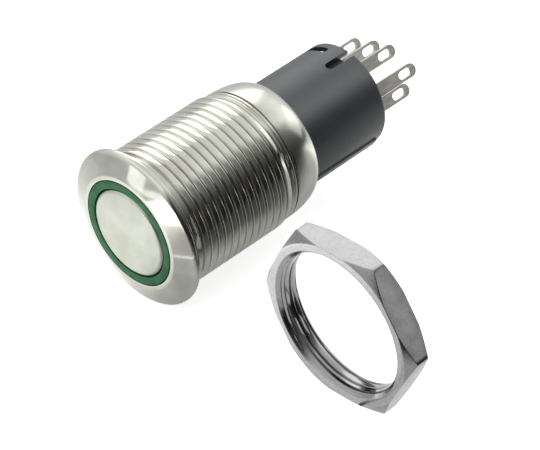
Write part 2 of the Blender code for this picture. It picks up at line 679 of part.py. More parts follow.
def terminal_blanks():
    """Each terminal's place, its inner strip's range across its width, and the strip's front end."""
    fork = (CONTACT_LINE - FORK_REACH, CONTACT_LINE + FORK_REACH)
    blanks = {
        "terminal_nc": (NC_PLACE, NC_STRIP, STRIP_FRONT),
        "terminal_common": (COMMON_PLACE, fork, FORK_FRONT),
        "terminal_no": (NO_PLACE, NO_STRIP, STRIP_FRONT),
    }
    for name, place in (("led_plus", LAMP_PLUS_PLACE), ("led_minus", LAMP_MINUS_PLACE)):
        plain = (place[1] - TAIL_WIDTH / 2, place[1] + TAIL_WIDTH / 2)
        blanks[f"terminal_{name}"] = (place, plain, LAMP_STRIP_FRONT)
    return blanks


def make_terminal_block(frame):
    """Plastic disc that closes the housing, with a slot for each terminal."""
    radius = HOUSING_SKIRT - FIT
    rim = BLOCK_REAR - FIT
    profile = [
        (0.0, BLOCK_FRONT),
        (radius, BLOCK_FRONT),
        (radius, rim),
        (radius - FIT, BLOCK_REAR),
        (0.0, BLOCK_REAR),
    ]
    obj = mesh_object("terminal_block", turned(profile, BUTTON_ROUND), frame, ((0.03, 0.03, 0.03), 0.6))
    for name, (place, strip, _) in terminal_blanks().items():
        half = STRIP_THICKNESS / 2 + FIT
        tail = (place[1] - TAIL_WIDTH / 2 - FIT, place[1] + TAIL_WIDTH / 2 + FIT)
        deep = box(
            (place[0] - half, strip[0] - FIT, BLOCK_FRONT - LOOSE_FIT),
            (place[0] + half, strip[1] + FIT, SHOULDER_DEPTH + FIT),
        )
        boolean(obj, cutter(f"{name}_deep_slot", deep, frame))
        narrow = box(
            (place[0] - half, tail[0], SHOULDER_DEPTH - LOOSE_FIT),
            (place[0] + half, tail[1], BLOCK_REAR + LOOSE_FIT),
        )
        boolean(obj, cutter(f"{name}_tail_slot", narrow, frame))
    return obj


def stamped(place, strip, front, jog=None):
    """A flat blank with a rounded solder tail, coined thinner there, and jogged sideways where asked."""
    left, right = place[1] - TAIL_WIDTH / 2, place[1] + TAIL_WIDTH / 2
    tip = arc((place[1], TAIL_TIP - TAIL_WIDTH / 2), TAIL_WIDTH / 2, 0, 180, 6)
    shoulders = [(strip[1], SHOULDER_DEPTH), (right, SHOULDER_DEPTH)]
    shoulders += [*tip, (left, SHOULDER_DEPTH), (strip[0], SHOULDER_DEPTH)]
    outline = [(strip[0], front), (strip[1], front)]
    for point in shoulders:
        if math.dist(point, outline[-1]) > FIT / 10:
            outline.append(point)
    bm = bmesh.new()
    bm.faces.new([bm.verts.new((-STRIP_THICKNESS / 2, w, depth)) for w, depth in outline])
    lines = [TAIL_COIN_DEPTH - LOOSE_FIT, TAIL_COIN_DEPTH, *(jog[0] if jog else ())]
    for line in lines:
        everything = bm.verts[:] + bm.edges[:] + bm.faces[:]
        level = Vector((0.0, 0.0, line))
        bmesh.ops.bisect_plane(bm, geom=everything, dist=1e-8, plane_co=level, plane_no=level)
    extruded = bmesh.ops.extrude_face_region(bm, geom=bm.faces[:])
    moved = [item for item in extruded["geom"] if isinstance(item, bmesh.types.BMVert)]
    bmesh.ops.translate(bm, verts=moved, vec=(STRIP_THICKNESS, 0.0, 0.0))
    for vert in bm.verts:
        if vert.co.z > TAIL_COIN_DEPTH - 1e-6:
            vert.co.x *= TAIL_THICKNESS / STRIP_THICKNESS
        vert.co.x += place[0]
        if jog:
            (near, far), shift = jog
            vert.co.x += shift * min(max((far - vert.co.z) / (far - near), 0.0), 1.0)
    return bm


def drill(obj, name, frame, radius, low, high, centre):
    """A round hole along the contact frame's X axis. centre is (width place, depth)."""
    bm = pin_shape(radius, low, high, (1.0, 0.0, 0.0), (0.0, 1.0, 0.0))
    bmesh.ops.translate(bm, verts=bm.verts, vec=(0.0, *centre))
    boolean(obj, cutter(name, bm, frame))


def make_terminals(frame):
    brass = ((0.55, 0.54, 0.45), 0.35, 1.0)
    made = {}
    for name, (place, strip, front) in terminal_blanks().items():
        jog = (NC_JOG, NC_INNER_PLACE - place[0]) if name == "terminal_nc" else None
        obj = mesh_object(name, stamped(place, strip, front, jog), frame, brass)
        centre = (place[1], TAIL_TIP - TAIL_HOLE_FROM_TIP)
        outline = stadium(centre, TAIL_HOLE_LENGTH, TAIL_HOLE_WIDTH)
        start = place[0] - STRIP_THICKNESS
        hole = prism(outline, lambda w, depth, x=start: (x, w, depth), (2 * STRIP_THICKNESS, 0.0, 0.0))
        boolean(obj, cutter(f"{name}_hole", hole, frame))
        made[name] = obj
    centre = (CONTACT_LINE, CONTACT_DEPTH)
    for name, place in (("terminal_nc", NC_INNER_PLACE), ("terminal_no", NO_PLACE[0])):
        low, high = place - STRIP_THICKNESS, place + STRIP_THICKNESS
        drill(made[name], f"{name}_rivet_hole", frame, RIVET_SHANK + FIT, low, high, centre)
    add_ears(made["terminal_common"], frame)


def add_ears(obj, frame):
    """Two upright ears on the common terminal, which carry the blade's pin."""
    overlap = FORK_FRONT + LOOSE_FIT
    for side in (-1, 1):
        inner = CONTACT_LINE + side * (BLADE_WIDTH / 2 + FIT)
        rounded = arc((0.0, PIVOT_DEPTH), EAR_RADIUS, 180, 360, 6)
        outline = [*rounded, (EAR_RADIUS, overlap), (-EAR_RADIUS, overlap)]
        bm = prism(outline, lambda n, depth, w=inner: (n, w, depth), (0.0, side * EAR_THICKNESS, 0.0))
        boolean(obj, cutter(f"ear_{side}", bm, frame), "UNION")
    reach = BLADE_WIDTH
    bm = pin_shape(PIN_RADIUS + FIT / 2, CONTACT_LINE - reach, CONTACT_LINE + reach)
    bmesh.ops.translate(bm, verts=bm.verts, vec=(0.0, 0.0, PIVOT_DEPTH))
    boolean(obj, cutter("ear_holes", bm, frame))


def pin_shape(radius, low, high, axis=(0.0, 1.0, 0.0), across=(0.0, 0.0, 1.0)):
    """A plain cylinder, along Y unless told otherwise."""
    profile = [(0.0, low), (radius, low), (radius, high), (0.0, high)]
    return turned(profile, PIN_ROUND, 360.0, axis, across)


def make_pivot_pin(frame):
    reach = FORK_REACH + FIT
    bm = pin_shape(PIN_RADIUS, CONTACT_LINE - reach, CONTACT_LINE + reach)
    bmesh.ops.translate(bm, verts=bm.verts, vec=(0.0, 0.0, PIVOT_DEPTH))
    mesh_object("pivot_pin", bm, frame, ((0.60, 0.60, 0.60), 0.3, 1.0))


def make_contact_blade(pivot):
    """Stamped blade with a rolled eye on its pivot and a side tab at its tip.

    Its depths count from the pivot.
    """
    edge = BLADE_WIDTH / 2
    tip = -BLADE_LENGTH
    outline = [
        (CONTACT_LINE - edge, 0.0),
        (CONTACT_LINE - edge, tip),
        (WEDGE_RIGHT + WEDGE_WIDTH, tip),
        (WEDGE_RIGHT + WEDGE_WIDTH, tip + BLADE_TAB_LENGTH),
        (CONTACT_LINE + edge, tip + BLADE_TAB_LENGTH),
        (CONTACT_LINE + edge, 0.0),
    ]
    start = -BLADE_THICKNESS / 2
    bm = prism(outline, lambda w, depth: (start, w, depth), (BLADE_THICKNESS, 0.0, 0.0))
    obj = mesh_object("contact_blade", bm, pivot, ((0.72, 0.45, 0.25), 0.3, 1.0))
    eye = pin_shape(EYE_RADIUS, CONTACT_LINE - edge, CONTACT_LINE + edge)
    boolean(obj, cutter("blade_eye", eye, pivot), "UNION")
    bore = pin_shape(PIN_RADIUS + FIT / 2, CONTACT_LINE - BLADE_WIDTH, CONTACT_LINE + BLADE_WIDTH)
    boolean(obj, cutter("blade_bore", bore, pivot))
    reach = BLADE_THICKNESS
    place = (CONTACT_LINE, CONTACT_DEPTH - PIVOT_DEPTH)
    drill(obj, "blade_rivet_hole", pivot, RIVET_SHANK + FIT, -reach, reach, place)


def rivet(low_height, high_height, thickness):
    """A contact rivet along X, its two heads a small clearance off a sheet centred on zero."""
    seat = thickness / 2 + FIT / 2
    profile = [
        (0.0, -seat - low_height),
        (RIVET_HEAD, -seat - low_height),
        (RIVET_HEAD, -seat),
        (RIVET_SHANK, -seat),
        (RIVET_SHANK, seat),
        (RIVET_HEAD, seat),
        (RIVET_HEAD, seat + high_height),
        (0.0, seat + high_height),
    ]
    return turned(profile, PIN_ROUND, 360.0, (1, 0, 0), (0, 1, 0))


def make_contacts(frame, pivot):
    """The blade's rivet touches one fixed rivet at rest and the other when the button is down."""
    silver = ((0.80, 0.79, 0.76), 0.25, 1.0)
    bm = rivet(RIVET_HEAD_HEIGHT, RIVET_HEAD_HEIGHT, BLADE_THICKNESS)
    bmesh.ops.translate(bm, verts=bm.verts, vec=(0.0, CONTACT_LINE, CONTACT_DEPTH - PIVOT_DEPTH))
    mesh_object("moving_contact", bm, pivot, silver)
    bm = rivet(RIVET_TAIL_HEIGHT, NC_RIVET_HEIGHT, STRIP_THICKNESS)
    bmesh.ops.translate(bm, verts=bm.verts, vec=(NC_INNER_PLACE, CONTACT_LINE, CONTACT_DEPTH))
    mesh_object("fixed_contact_nc", bm, frame, silver)
    bm = rivet(NO_RIVET_HEIGHT, RIVET_TAIL_HEIGHT, STRIP_THICKNESS)
    bmesh.ops.translate(bm, verts=bm.verts, vec=(NO_PLACE[0], CONTACT_LINE, CONTACT_DEPTH))
    mesh_object("fixed_contact_no", bm, frame, silver)


def make_leads(frame):
    """Insulated leads from the light board, through the guide, to the two outer terminals."""
    for name, place in (("plus", LAMP_PLUS_PLACE), ("minus", LAMP_MINUS_PLACE)):
        ahead = lead_place(place)
        low = BOARD_FRONT + BOARD_THICKNESS + FIT
        high = LAMP_STRIP_FRONT - FIT
        curve = bpy.data.curves.new(f"led_lead_{name}", "CURVE")
        curve.dimensions = "3D"
        curve.bevel_depth = LEAD_RADIUS
        curve.bevel_resolution = 1
        curve.use_fill_caps = True
        steps = 8
        spline = curve.splines.new("POLY")
        spline.points.add(steps + 2)
        spline.points[0].co = (*ahead, low, 1.0)
        spline.points[-1].co = (*place, high, 1.0)
        bend_end = LAMP_STRIP_FRONT - 2 * LEAD_RADIUS
        for i in range(steps + 1):
            part = i / steps
            blend = part * part * (3 - 2 * part)
            across = [a + (b - a) * blend for a, b in zip(ahead, place)]
            depth = LEAD_BEND_DEPTH + (bend_end - LEAD_BEND_DEPTH) * part
            spline.points[i + 1].co = (*across, depth, 1.0)
        red = ((0.45, 0.03, 0.02), 0.5)
        black = ((0.02, 0.02, 0.02), 0.5)
        link(f"led_lead_{name}", curve, frame, red if name == "plus" else black)


def make_mounting_nut(parent):
    """Thin hexagon nut, chamfered on both faces, with a countersunk threaded bore."""
    half = NUT_THICKNESS / 2
    corner = NUT_ACROSS_FLATS / math.sqrt(3)
    bm = prism(arc((0.0, 0.0), corner, 0, 300, 5), lambda x, y: (x, y, -half), (0.0, 0.0, NUT_THICKNESS))
    obj = mesh_object("mounting_nut", bm, parent, ((0.50, 0.50, 0.50), 0.35, 1.0), 20.0)
    widest = NUT_FACE_RADIUS + half / math.tan(math.radians(NUT_CHAMFER_DEGREES))
    blank = [(0.0, -half), (NUT_FACE_RADIUS, -half), (widest, 0.0), (NUT_FACE_RADIUS, half), (0.0, half)]
    boolean(obj, cutter("nut_chamfers", turned(blank, ROUND), parent), "INTERSECT")
    reach = half + 1.5 * THREAD_PITCH
    tap = bmesh.new()
    first = ring_of(tap, NUT_CREST, -reach, ROUND)
    last = ring_of(tap, NUT_CREST, reach, ROUND)
    helix_rows(tap, first, last, -reach, reach, NUT_CREST, NUT_ROOT)
    tap.faces.new(first)
    tap.faces.new(last)
    boolean(obj, cutter("nut_tap", tap, parent))
    wide = NUT_ROOT + NUT_COUNTERSINK
    sink = wide - NUT_CREST
    over = LOOSE_FIT
    for side in (-1, 1):
        profile = [(0.0, half - sink), (NUT_CREST, half - sink), (wide + over, half + over), (0.0, half + over)]
        bm = turned([(radius, side * depth) for radius, depth in profile], ROUND)
        boolean(obj, cutter(f"nut_countersink_{side}", bm, parent))
    return obj


def main():
    clear_scene()
    lay_down = (-math.pi / 2, 0.0, 0.0)
    axis = empty("switch_axis", rotation=lay_down)
    slide = empty("button_slide", axis)
    turn = math.radians(local_angle(CONTACT_FRAME_ANGLE))
    frame = empty("contact_frame", axis, rotation=(0.0, 0.0, turn))
    pivot = empty("blade_pivot", frame, (0.0, 0.0, PIVOT_DEPTH))
    nut_axis = empty("nut_axis", location=NUT_PLACE, rotation=lay_down)
    make_bezel_body(axis)
    make_light_ring(axis)
    make_button_cap(slide)
    make_seals(axis, slide)
    make_retaining_clip(slide)
    make_return_spring(axis)
    make_guide_bush(axis, frame)
    make_light_board(axis)
    make_plunger(slide, Matrix.Rotation(turn, 3, "Z"))
    make_rear_housing(axis)
    make_terminal_block(frame)
    make_terminals(frame)
    make_pivot_pin(frame)
    make_contact_blade(pivot)
    make_contacts(frame, pivot)
    make_leads(frame)
    make_mounting_nut(nut_axis)
    bpy.context.view_layer.update()


main()
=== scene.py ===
"""Looks of the illuminated push button switch and the nut that stands beside it.

Depth is measured along the switch's axis, which is world +Y, from the button's front face towards the
solder tails. Angles round the axis run from +X towards +Z.
"""

import json
import math

import bmesh
import bpy
from mathutils import Matrix, Vector


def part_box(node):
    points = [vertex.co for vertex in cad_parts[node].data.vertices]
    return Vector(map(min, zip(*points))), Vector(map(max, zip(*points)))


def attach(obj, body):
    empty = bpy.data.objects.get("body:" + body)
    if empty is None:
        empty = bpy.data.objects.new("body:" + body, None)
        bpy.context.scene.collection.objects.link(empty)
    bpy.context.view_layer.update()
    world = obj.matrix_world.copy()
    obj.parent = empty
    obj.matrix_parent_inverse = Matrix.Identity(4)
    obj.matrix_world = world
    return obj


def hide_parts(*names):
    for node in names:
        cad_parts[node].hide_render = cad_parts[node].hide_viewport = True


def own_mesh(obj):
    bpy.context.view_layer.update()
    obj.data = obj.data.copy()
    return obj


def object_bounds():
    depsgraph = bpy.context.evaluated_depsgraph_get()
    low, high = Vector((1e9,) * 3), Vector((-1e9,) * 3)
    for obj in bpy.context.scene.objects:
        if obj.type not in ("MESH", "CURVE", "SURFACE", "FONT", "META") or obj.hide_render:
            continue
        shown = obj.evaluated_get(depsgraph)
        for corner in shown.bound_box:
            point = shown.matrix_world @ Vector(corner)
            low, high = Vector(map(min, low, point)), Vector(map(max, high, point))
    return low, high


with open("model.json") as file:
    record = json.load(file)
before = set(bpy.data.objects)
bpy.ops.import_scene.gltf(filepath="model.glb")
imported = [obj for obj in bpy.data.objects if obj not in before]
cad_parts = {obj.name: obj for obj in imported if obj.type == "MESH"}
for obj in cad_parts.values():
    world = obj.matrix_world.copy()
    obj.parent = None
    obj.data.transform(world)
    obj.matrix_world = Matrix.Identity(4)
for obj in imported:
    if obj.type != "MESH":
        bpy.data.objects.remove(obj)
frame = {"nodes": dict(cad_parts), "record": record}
cad_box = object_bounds()

# Photograph's frame and camera
IMAGE_WIDTH = 540
FOCAL_PIXELS = 3200
SENSOR_WIDTH = 36.0
CAMERA_PLACE = (0.205144, -0.162026, 0.196822)
CAMERA_AZIMUTH = 48.51
CAMERA_ELEVATION = 37.11
CAMERA_ROLL = -5.66
CAMERA_CLIP = (0.01, 10.0)

# Steps round a circle, and along the smaller arcs
FINE = 192
NUT_STEPS = 288
DOME_STEPS = 24
RIM_STEPS = 8
SLOT_STEPS = 12
RIB_STEPS = 4
ROUNDING_STEPS = 3

# The thread's profile as parts of its pitch and height, and the height at which its end turns begin
THREAD_SHAPE = (
    (0.0, 0.0),
    (0.02, 0.07),
    (0.05, 0.24),
    (0.14, 0.76),
    (0.17, 0.92),
    (0.20, 0.985),
    (0.25, 1.0),
    (0.50, 1.0),
    (0.75, 1.0),
    (0.80, 0.985),
    (0.83, 0.92),
    (0.86, 0.76),
    (0.95, 0.24),
    (0.98, 0.07),
)
THREAD_FADE = 0.25

# Clearances and roundings
FIT = 0.0001
LOOSE_FIT = 0.0003
EDGE = 0.00006
SOFT_EDGE = 0.00022
ROUNDING_SHARE = 0.45
SHARP_TURN_DEGREES = 15.0

# Angles at which the shading breaks, and gaps that are closed
SHARP_DEGREES = 35.0
HOUSING_SHARP_DEGREES = 30.0
NUT_SHARP_DEGREES = 28.0
FLAT_DEGREES = 1.0
MERGE_GAP = 1e-8
SOLID_MERGE_GAP = 1e-7

# Eased edges: width and segments
EASED_DEGREES = 40.0
HOUSING_EASE = (0.00004, 2)
TAIL_EASE = (0.00004, 3)
BLOCK_EASE = (0.00003, 2)

# Metal body
FACE_DEPTH = 0.0001
FLANGE_RADIUS = 0.0090
FLANGE_CORNER = 0.0003
BEVEL_END = 0.00095
SEAT_DEPTH = 0.0016
LIP_WIDTH = 0.0005
PILOT_RADIUS = 0.0080
PILOT_LENGTH = 0.0003
THREAD_CREST = 0.00795
THREAD_ROOT = 0.00755
THREAD_PITCH = 0.0010
THREAD_START = 0.0022
THREAD_END = 0.0164
LAND_RADIUS = 0.00771
LAND_WIDTH = 0.00025
GROOVE_RADIUS = 0.00735
COLLAR_START = 0.0171
COLLAR_REAR_RADIUS = 0.00645
BODY_REAR = 0.02105
BORE_RADIUS = 0.00615

# Light ring
RING_INNER = 0.00515
RING_OUTER = 0.00605
RING_REAR = 0.0070

# Button
BUTTON_RADIUS = 0.0050
BUTTON_LENGTH = 0.0052
BUTTON_EDGE = 0.0004
SEAL_GROOVE = (0.0026, 0.003725)
SEAL_GROOVE_RADIUS = 0.00425
POCKET_INNER = 0.00225
POCKET_OUTER = 0.00385
POCKET_FLOOR = 0.0039
STEM_RADIUS = 0.001667
STEM_END = 0.0150
CLIP_GROOVE = (0.0129, 0.0135)
CLIP_GROOVE_RADIUS = 0.00125

# Return spring
SPRING_TURNS = 5
SPRING_WIRE_RADIUS = 0.00022
SPRING_STEPS = 48
SPRING_SIDES = 16

# Rear housing
HOUSING_RADIUS = 0.00605
HOUSING_FRONT = 0.0130
HOUSING_REAR = 0.0321
HOUSING_CAVITY = 0.0049
HOUSING_SKIRT = 0.0055
HOUSING_ROUNDING = 0.0004
HOUSING_SHOULDER = 0.0264
HOUSING_SEAL = (0.01435, 0.015025)
HOUSING_SEAL_RADIUS = 0.0056
KEY_RIB_ANGLE = -38.0
KEY_RIB_WIDTH = 0.0018
KEY_RIB_HEIGHT = 0.0002
KEY_RIB_END = 0.0310
AXIAL_SLOT_ANGLE = 77.0
AXIAL_SLOT_WIDTH = 0.0010
AXIAL_SLOT_LENGTH = 0.0038
ROUND_SLOT_ANGLES = (97.0, 126.0)
ROUND_SLOT_WIDTH = 0.0009
ROUND_SLOT_INSET = 0.0016

# Solder tails, each at its place along the two directions of the contact frame
CONTACT_FRAME_ANGLE = 28.0
STRIP_THICKNESS = 0.0005
TAIL_THICKNESS = 0.0004
TAIL_WIDTH = 0.0015
TAIL_START = 0.0307
TAIL_COIN_DEPTH = 0.0324
TAIL_TIP = 0.0386
TAIL_HOLE_LENGTH = 0.0019
TAIL_HOLE_WIDTH = 0.00094
TAIL_HOLE_FROM_TIP = 0.0016
TAIL_HOLE_ROOM = 0.0012
TAIL_PLACES = {
    "nc": (-0.002959, -0.0031625),
    "common": (0.0, -0.0026015),
    "no": (0.00230855, -0.001892),
    "led_plus": (0.0043725, 0.0005115),
    "led_minus": (0.001848, 0.0027995),
}

# Mounting nut
NUT_ACROSS_FLATS = 0.0180
NUT_SIDES = 6
NUT_THICKNESS = 0.0029
NUT_FACE_RADIUS = 0.0091
NUT_CHAMFER_DEGREES = 30.0
NUT_ROOT = 0.0081
NUT_CREST = 0.0077
NUT_COUNTERSINK = 0.0083

# Each slot's lighter and darker colour in sRGB channels
COLOURS = {
    "body_metal": ((209, 210, 201), (192, 192, 182)),
    "button_metal": ((200, 203, 191), (188, 191, 178)),
    "spring_steel": ((190, 190, 190), (150, 150, 148)),
    "green_lens": ((10, 112, 56), (6, 88, 42)),
    "lamp": ((240, 236, 205), (226, 220, 180)),
    "board": ((40, 112, 70), (26, 88, 52)),
    "dark_plastic": ((41, 48, 51), (37, 44, 47)),
    "black_plastic": ((46, 48, 49), (36, 37, 38)),
    "pale_plastic": ((225, 222, 212), (212, 208, 196)),
    "seal_rubber": ((38, 38, 38), (28, 28, 28)),
    "red_insulation": ((176, 34, 26), (150, 26, 20)),
    "black_insulation": ((40, 40, 40), (30, 30, 30)),
    "tail_metal": ((232, 231, 224), (196, 195, 187)),
    "blade_metal": ((212, 160, 112), (176, 122, 80)),
    "contact_metal": ((232, 230, 224), (204, 200, 190)),
}
NUT_FACE_COLOURS = ((180, 180, 180), (166, 166, 166))
NUT_SIDE_COLOURS = ((156, 156, 156), (146, 146, 146))
BRASS_COLOUR = (150, 122, 74)

# Each slot's lowest and highest roughness
ROUGHNESS = {
    "body_metal": (0.07, 0.12),
    "button_metal": (0.38, 0.48),
    "nut_metal": (0.22, 0.30),
    "spring_steel": (0.22, 0.34),
    "green_lens": (0.34, 0.46),
    "lamp": (0.16, 0.26),
    "board": (0.34, 0.46),
    "dark_plastic": (0.38, 0.46),
    "black_plastic": (0.50, 0.64),
    "pale_plastic": (0.42, 0.56),
    "seal_rubber": (0.66, 0.80),
    "red_insulation": (0.44, 0.56),
    "black_insulation": (0.44, 0.56),
    "tail_metal": (0.46, 0.60),
    "blade_metal": (0.24, 0.36),
    "contact_metal": (0.20, 0.30),
}
NUT_BORE_ROUGHNESS = (0.10, 0.16)
COLLAR_EXTRA_ROUGHNESS = 0.13

# Gloss of the plastics, the light ring's depth of colour, and the tails' plating
PLASTIC_SHEEN = {
    "lamp": 0.5,
    "board": 0.5,
    "dark_plastic": 0.9,
    "black_plastic": 0.5,
    "pale_plastic": 0.5,
    "seal_rubber": 0.5,
    "red_insulation": 0.5,
    "black_insulation": 0.5,
}
LENS_SHEEN = 0.27
LENS_SCATTER = 0.25
LENS_SCATTER_DEPTH = 0.0005
TAIL_METALLIC = 0.72
BRASS_LENGTH = 0.0022

# Surface patterns: how many a metre, their detail and their roughness
TURNED_RINGS = (5000.0, 4.0, 0.55)
FINE_TURNED_RINGS = (7000.0, 4.0, 0.55)
TURNED_STAINS = (260.0, 3.0, 0.55)
PITS = (9000.0, 2.0, 0.55)
STAINS = (700.0, 3.0, 0.55)
SCRATCHES = (4200.0, 5.0, 0.6)
NUT_SCRATCHES = (3800.0, 5.0, 0.6)
TAIL_STREAKS = (1500.0, 5.0, 0.6)
TAIL_STAINS = (900.0, 3.0, 0.55)
MOULD_GRAIN = (6000.0, 3.0, 0.55)
MOTTLING = (500.0, 3.0, 0.55)
LENS_GRAIN = (7000.0, 3.0, 0.55)
PATTERN_RANGE = (0.35, 0.65)

# How the scratches are stretched along X, Y and Z
SCRATCH_STRETCH = {
    "spring_steel": (2.0, 0.7, 2.0),
    "blade_metal": (2.0, 0.6, 2.0),
    "contact_metal": (1.5, 1.5, 1.5),
}
NUT_STRETCH = (0.5, 2.0, 1.0)
TAIL_STRETCH = (3.0, 0.5, 3.0)

# Relief of the patterns: strength and depth
RING_RELIEF = (0.35, 0.000002)
PIT_RELIEF = (0.12, 0.000002)
SCRATCH_RELIEF = (0.4, 0.000004)
STREAK_RELIEF = (0.35, 0.000004)
MOULD_RELIEF = (0.4, 0.000006)
LENS_RELIEF = (0.2, 0.000003)

# Studio: where its lit wall is, and how bright the wall and the unlit side are by the sine of the elevation
WHITE = (1.0, 1.0, 1.0, 1.0)
LIT_SIDE = (-0.92, 0.08, 0.38)
WALL_EDGE = (-0.24, 0.08)
WALL_SHADES = ((0.0, 0.75), (0.20, 0.85), (0.40, 1.05), (0.60, 1.30), (0.83, 1.0), (1.0, 0.9))
ROOM_SHADES = (
    (0.0, (0.030, 0.025, 0.020)),
    (0.26, 0.05),
    (0.50, 0.16),
    (0.71, 0.35),
    (0.87, 0.60),
    (1.0, 0.90),
)

# The floor, and how the metal sees it: painted light and shade, with a painted glow, along a line that bends
# round the middle of the barrel
FLOOR_HALF_WIDTH = 1.5
FLOOR_COLOUR = (0.90, 0.90, 0.90, 1.0)
FLOOR_ROUGHNESS = 0.9
FLOOR_GLOW = 0.75
FLOOR_BEND_DEPTH = 0.020
FLOOR_BEND = -0.475
FLOOR_SLANT = -0.325
FLOOR_REACH = (-0.10, 0.05)
FLOOR_PAINTED_LIGHT = (
    (0.00, 0.62),
    (0.20, 0.66),
    (0.44, 0.85),
    (0.52, 1.2),
    (0.60, 1.5),
    (0.64, 1.02),
    (0.66, 0.72),
    (0.68, 0.60),
    (0.70, 0.64),
    (0.725, 0.60),
    (0.75, 0.34),
    (0.775, 0.13),
    (0.93, 0.02),
)
# How much of the painted light goes into the floor's colour and into its painted glow, seen only in
# reflections
FLOOR_PAINTED_SHADE_COLOUR = 0.6
FLOOR_PAINTED_GLOW = 0.5

# Lights: place, the point each one faces (none for straight up), two sides, brightness, and the one piece lit
LIGHTS = {
    "key": ((-0.44, 0.35, 0.42), (0.0, 0.01, 0.0), (0.48, 0.48), 1.0, None),
    "floor_card": ((-0.008, -0.092, -0.0085), None, (0.05, 0.100), 1.3, None),
    "far_card": ((-0.040, -0.237, -0.0085), None, (0.12, 0.190), 0.75, None),
    "floor_line": ((0.004, -0.0127, -0.0088), None, (0.030, 0.0009), 0.85, None),
    "standing_card": ((-0.0990, -0.1740, 0.0105), (0.0, 0.0, 0.0055), (0.044, 0.039), 0.9, None),
    "rear_panel": ((0.10, 0.40, 0.15), (0.0, 0.02, 0.0), (0.26, 0.18), 0.75, None),
    "housing_panel": ((0.235, 0.295, 0.35), (0.0, 0.026, 0.0), (0.25, 0.25), 1.8, "housing_shell"),
    "nut_card": ((-0.001, 0.004, -0.00898), None, (0.06, 0.06), 0.88, "nut_shell"),
    "nut_side": ((0.0365, 0.0090, -0.00898), None, (0.012, 0.011), 1.0, "nut_shell"),
    "nut_front": ((0.0385, -0.0045, -0.00898), None, (0.018, 0.016), 0.75, "nut_shell"),
    "nut_fill": ((0.33, 0.20, 0.10), (0.027, 0.004, 0.0), (0.16, 0.16), 0.9, "nut_shell"),
}


def linear(grey):
    """A linear value for one sRGB channel of 0 to 255."""
    part = grey / 255
    return part / 12.92 if part <= 0.04045 else ((part + 0.055) / 1.055) ** 2.4


def colour_of(channels):
    """A linear colour for three sRGB channels."""
    return (*map(linear, channels), 1.0)


class Nodes:
    """Short calls for a node tree."""

    def __init__(self, tree):
        self.tree = tree

    def link(self, source, target):
        """Feeds an input from an output."""
        self.tree.links.new(source, target)

    def give(self, target, value):
        """Links an input to a node's output, or sets it to a plain value."""
        if isinstance(value, bpy.types.NodeSocket):
            self.link(value, target)
        else:
            target.default_value = value

    def node(self, kind, **settings):
        """Makes a node of this kind with its settings."""
        made = self.tree.nodes.new(kind)
        for name, value in settings.items():
            setattr(made, name, value)
        return made

    def blend(self, factor, first, second, kind="RGBA"):
        """Goes from the first value to the second by a factor of 0 to 1."""
        made = self.node("ShaderNodeMix", data_type=kind)
        self.link(factor, made.inputs["Factor"])
        self.give(made.inputs["A"], first)
        self.give(made.inputs["B"], second)
        return made.outputs["Result"]

    def ramp(self, value, stops):
        """Turns a value into a colour, through stops of (position, grey or colour)."""
        made = self.node("ShaderNodeValToRGB")
        points = made.color_ramp.elements
        while len(points) < len(stops):
            points.new(1.0)
        for point, (position, shade) in zip(points, stops):
            point.position = position
            point.color = (shade, shade, shade, 1.0) if isinstance(shade, float) else (*shade, 1.0)
        self.link(value, made.inputs["Fac"])
        return made.outputs["Color"]


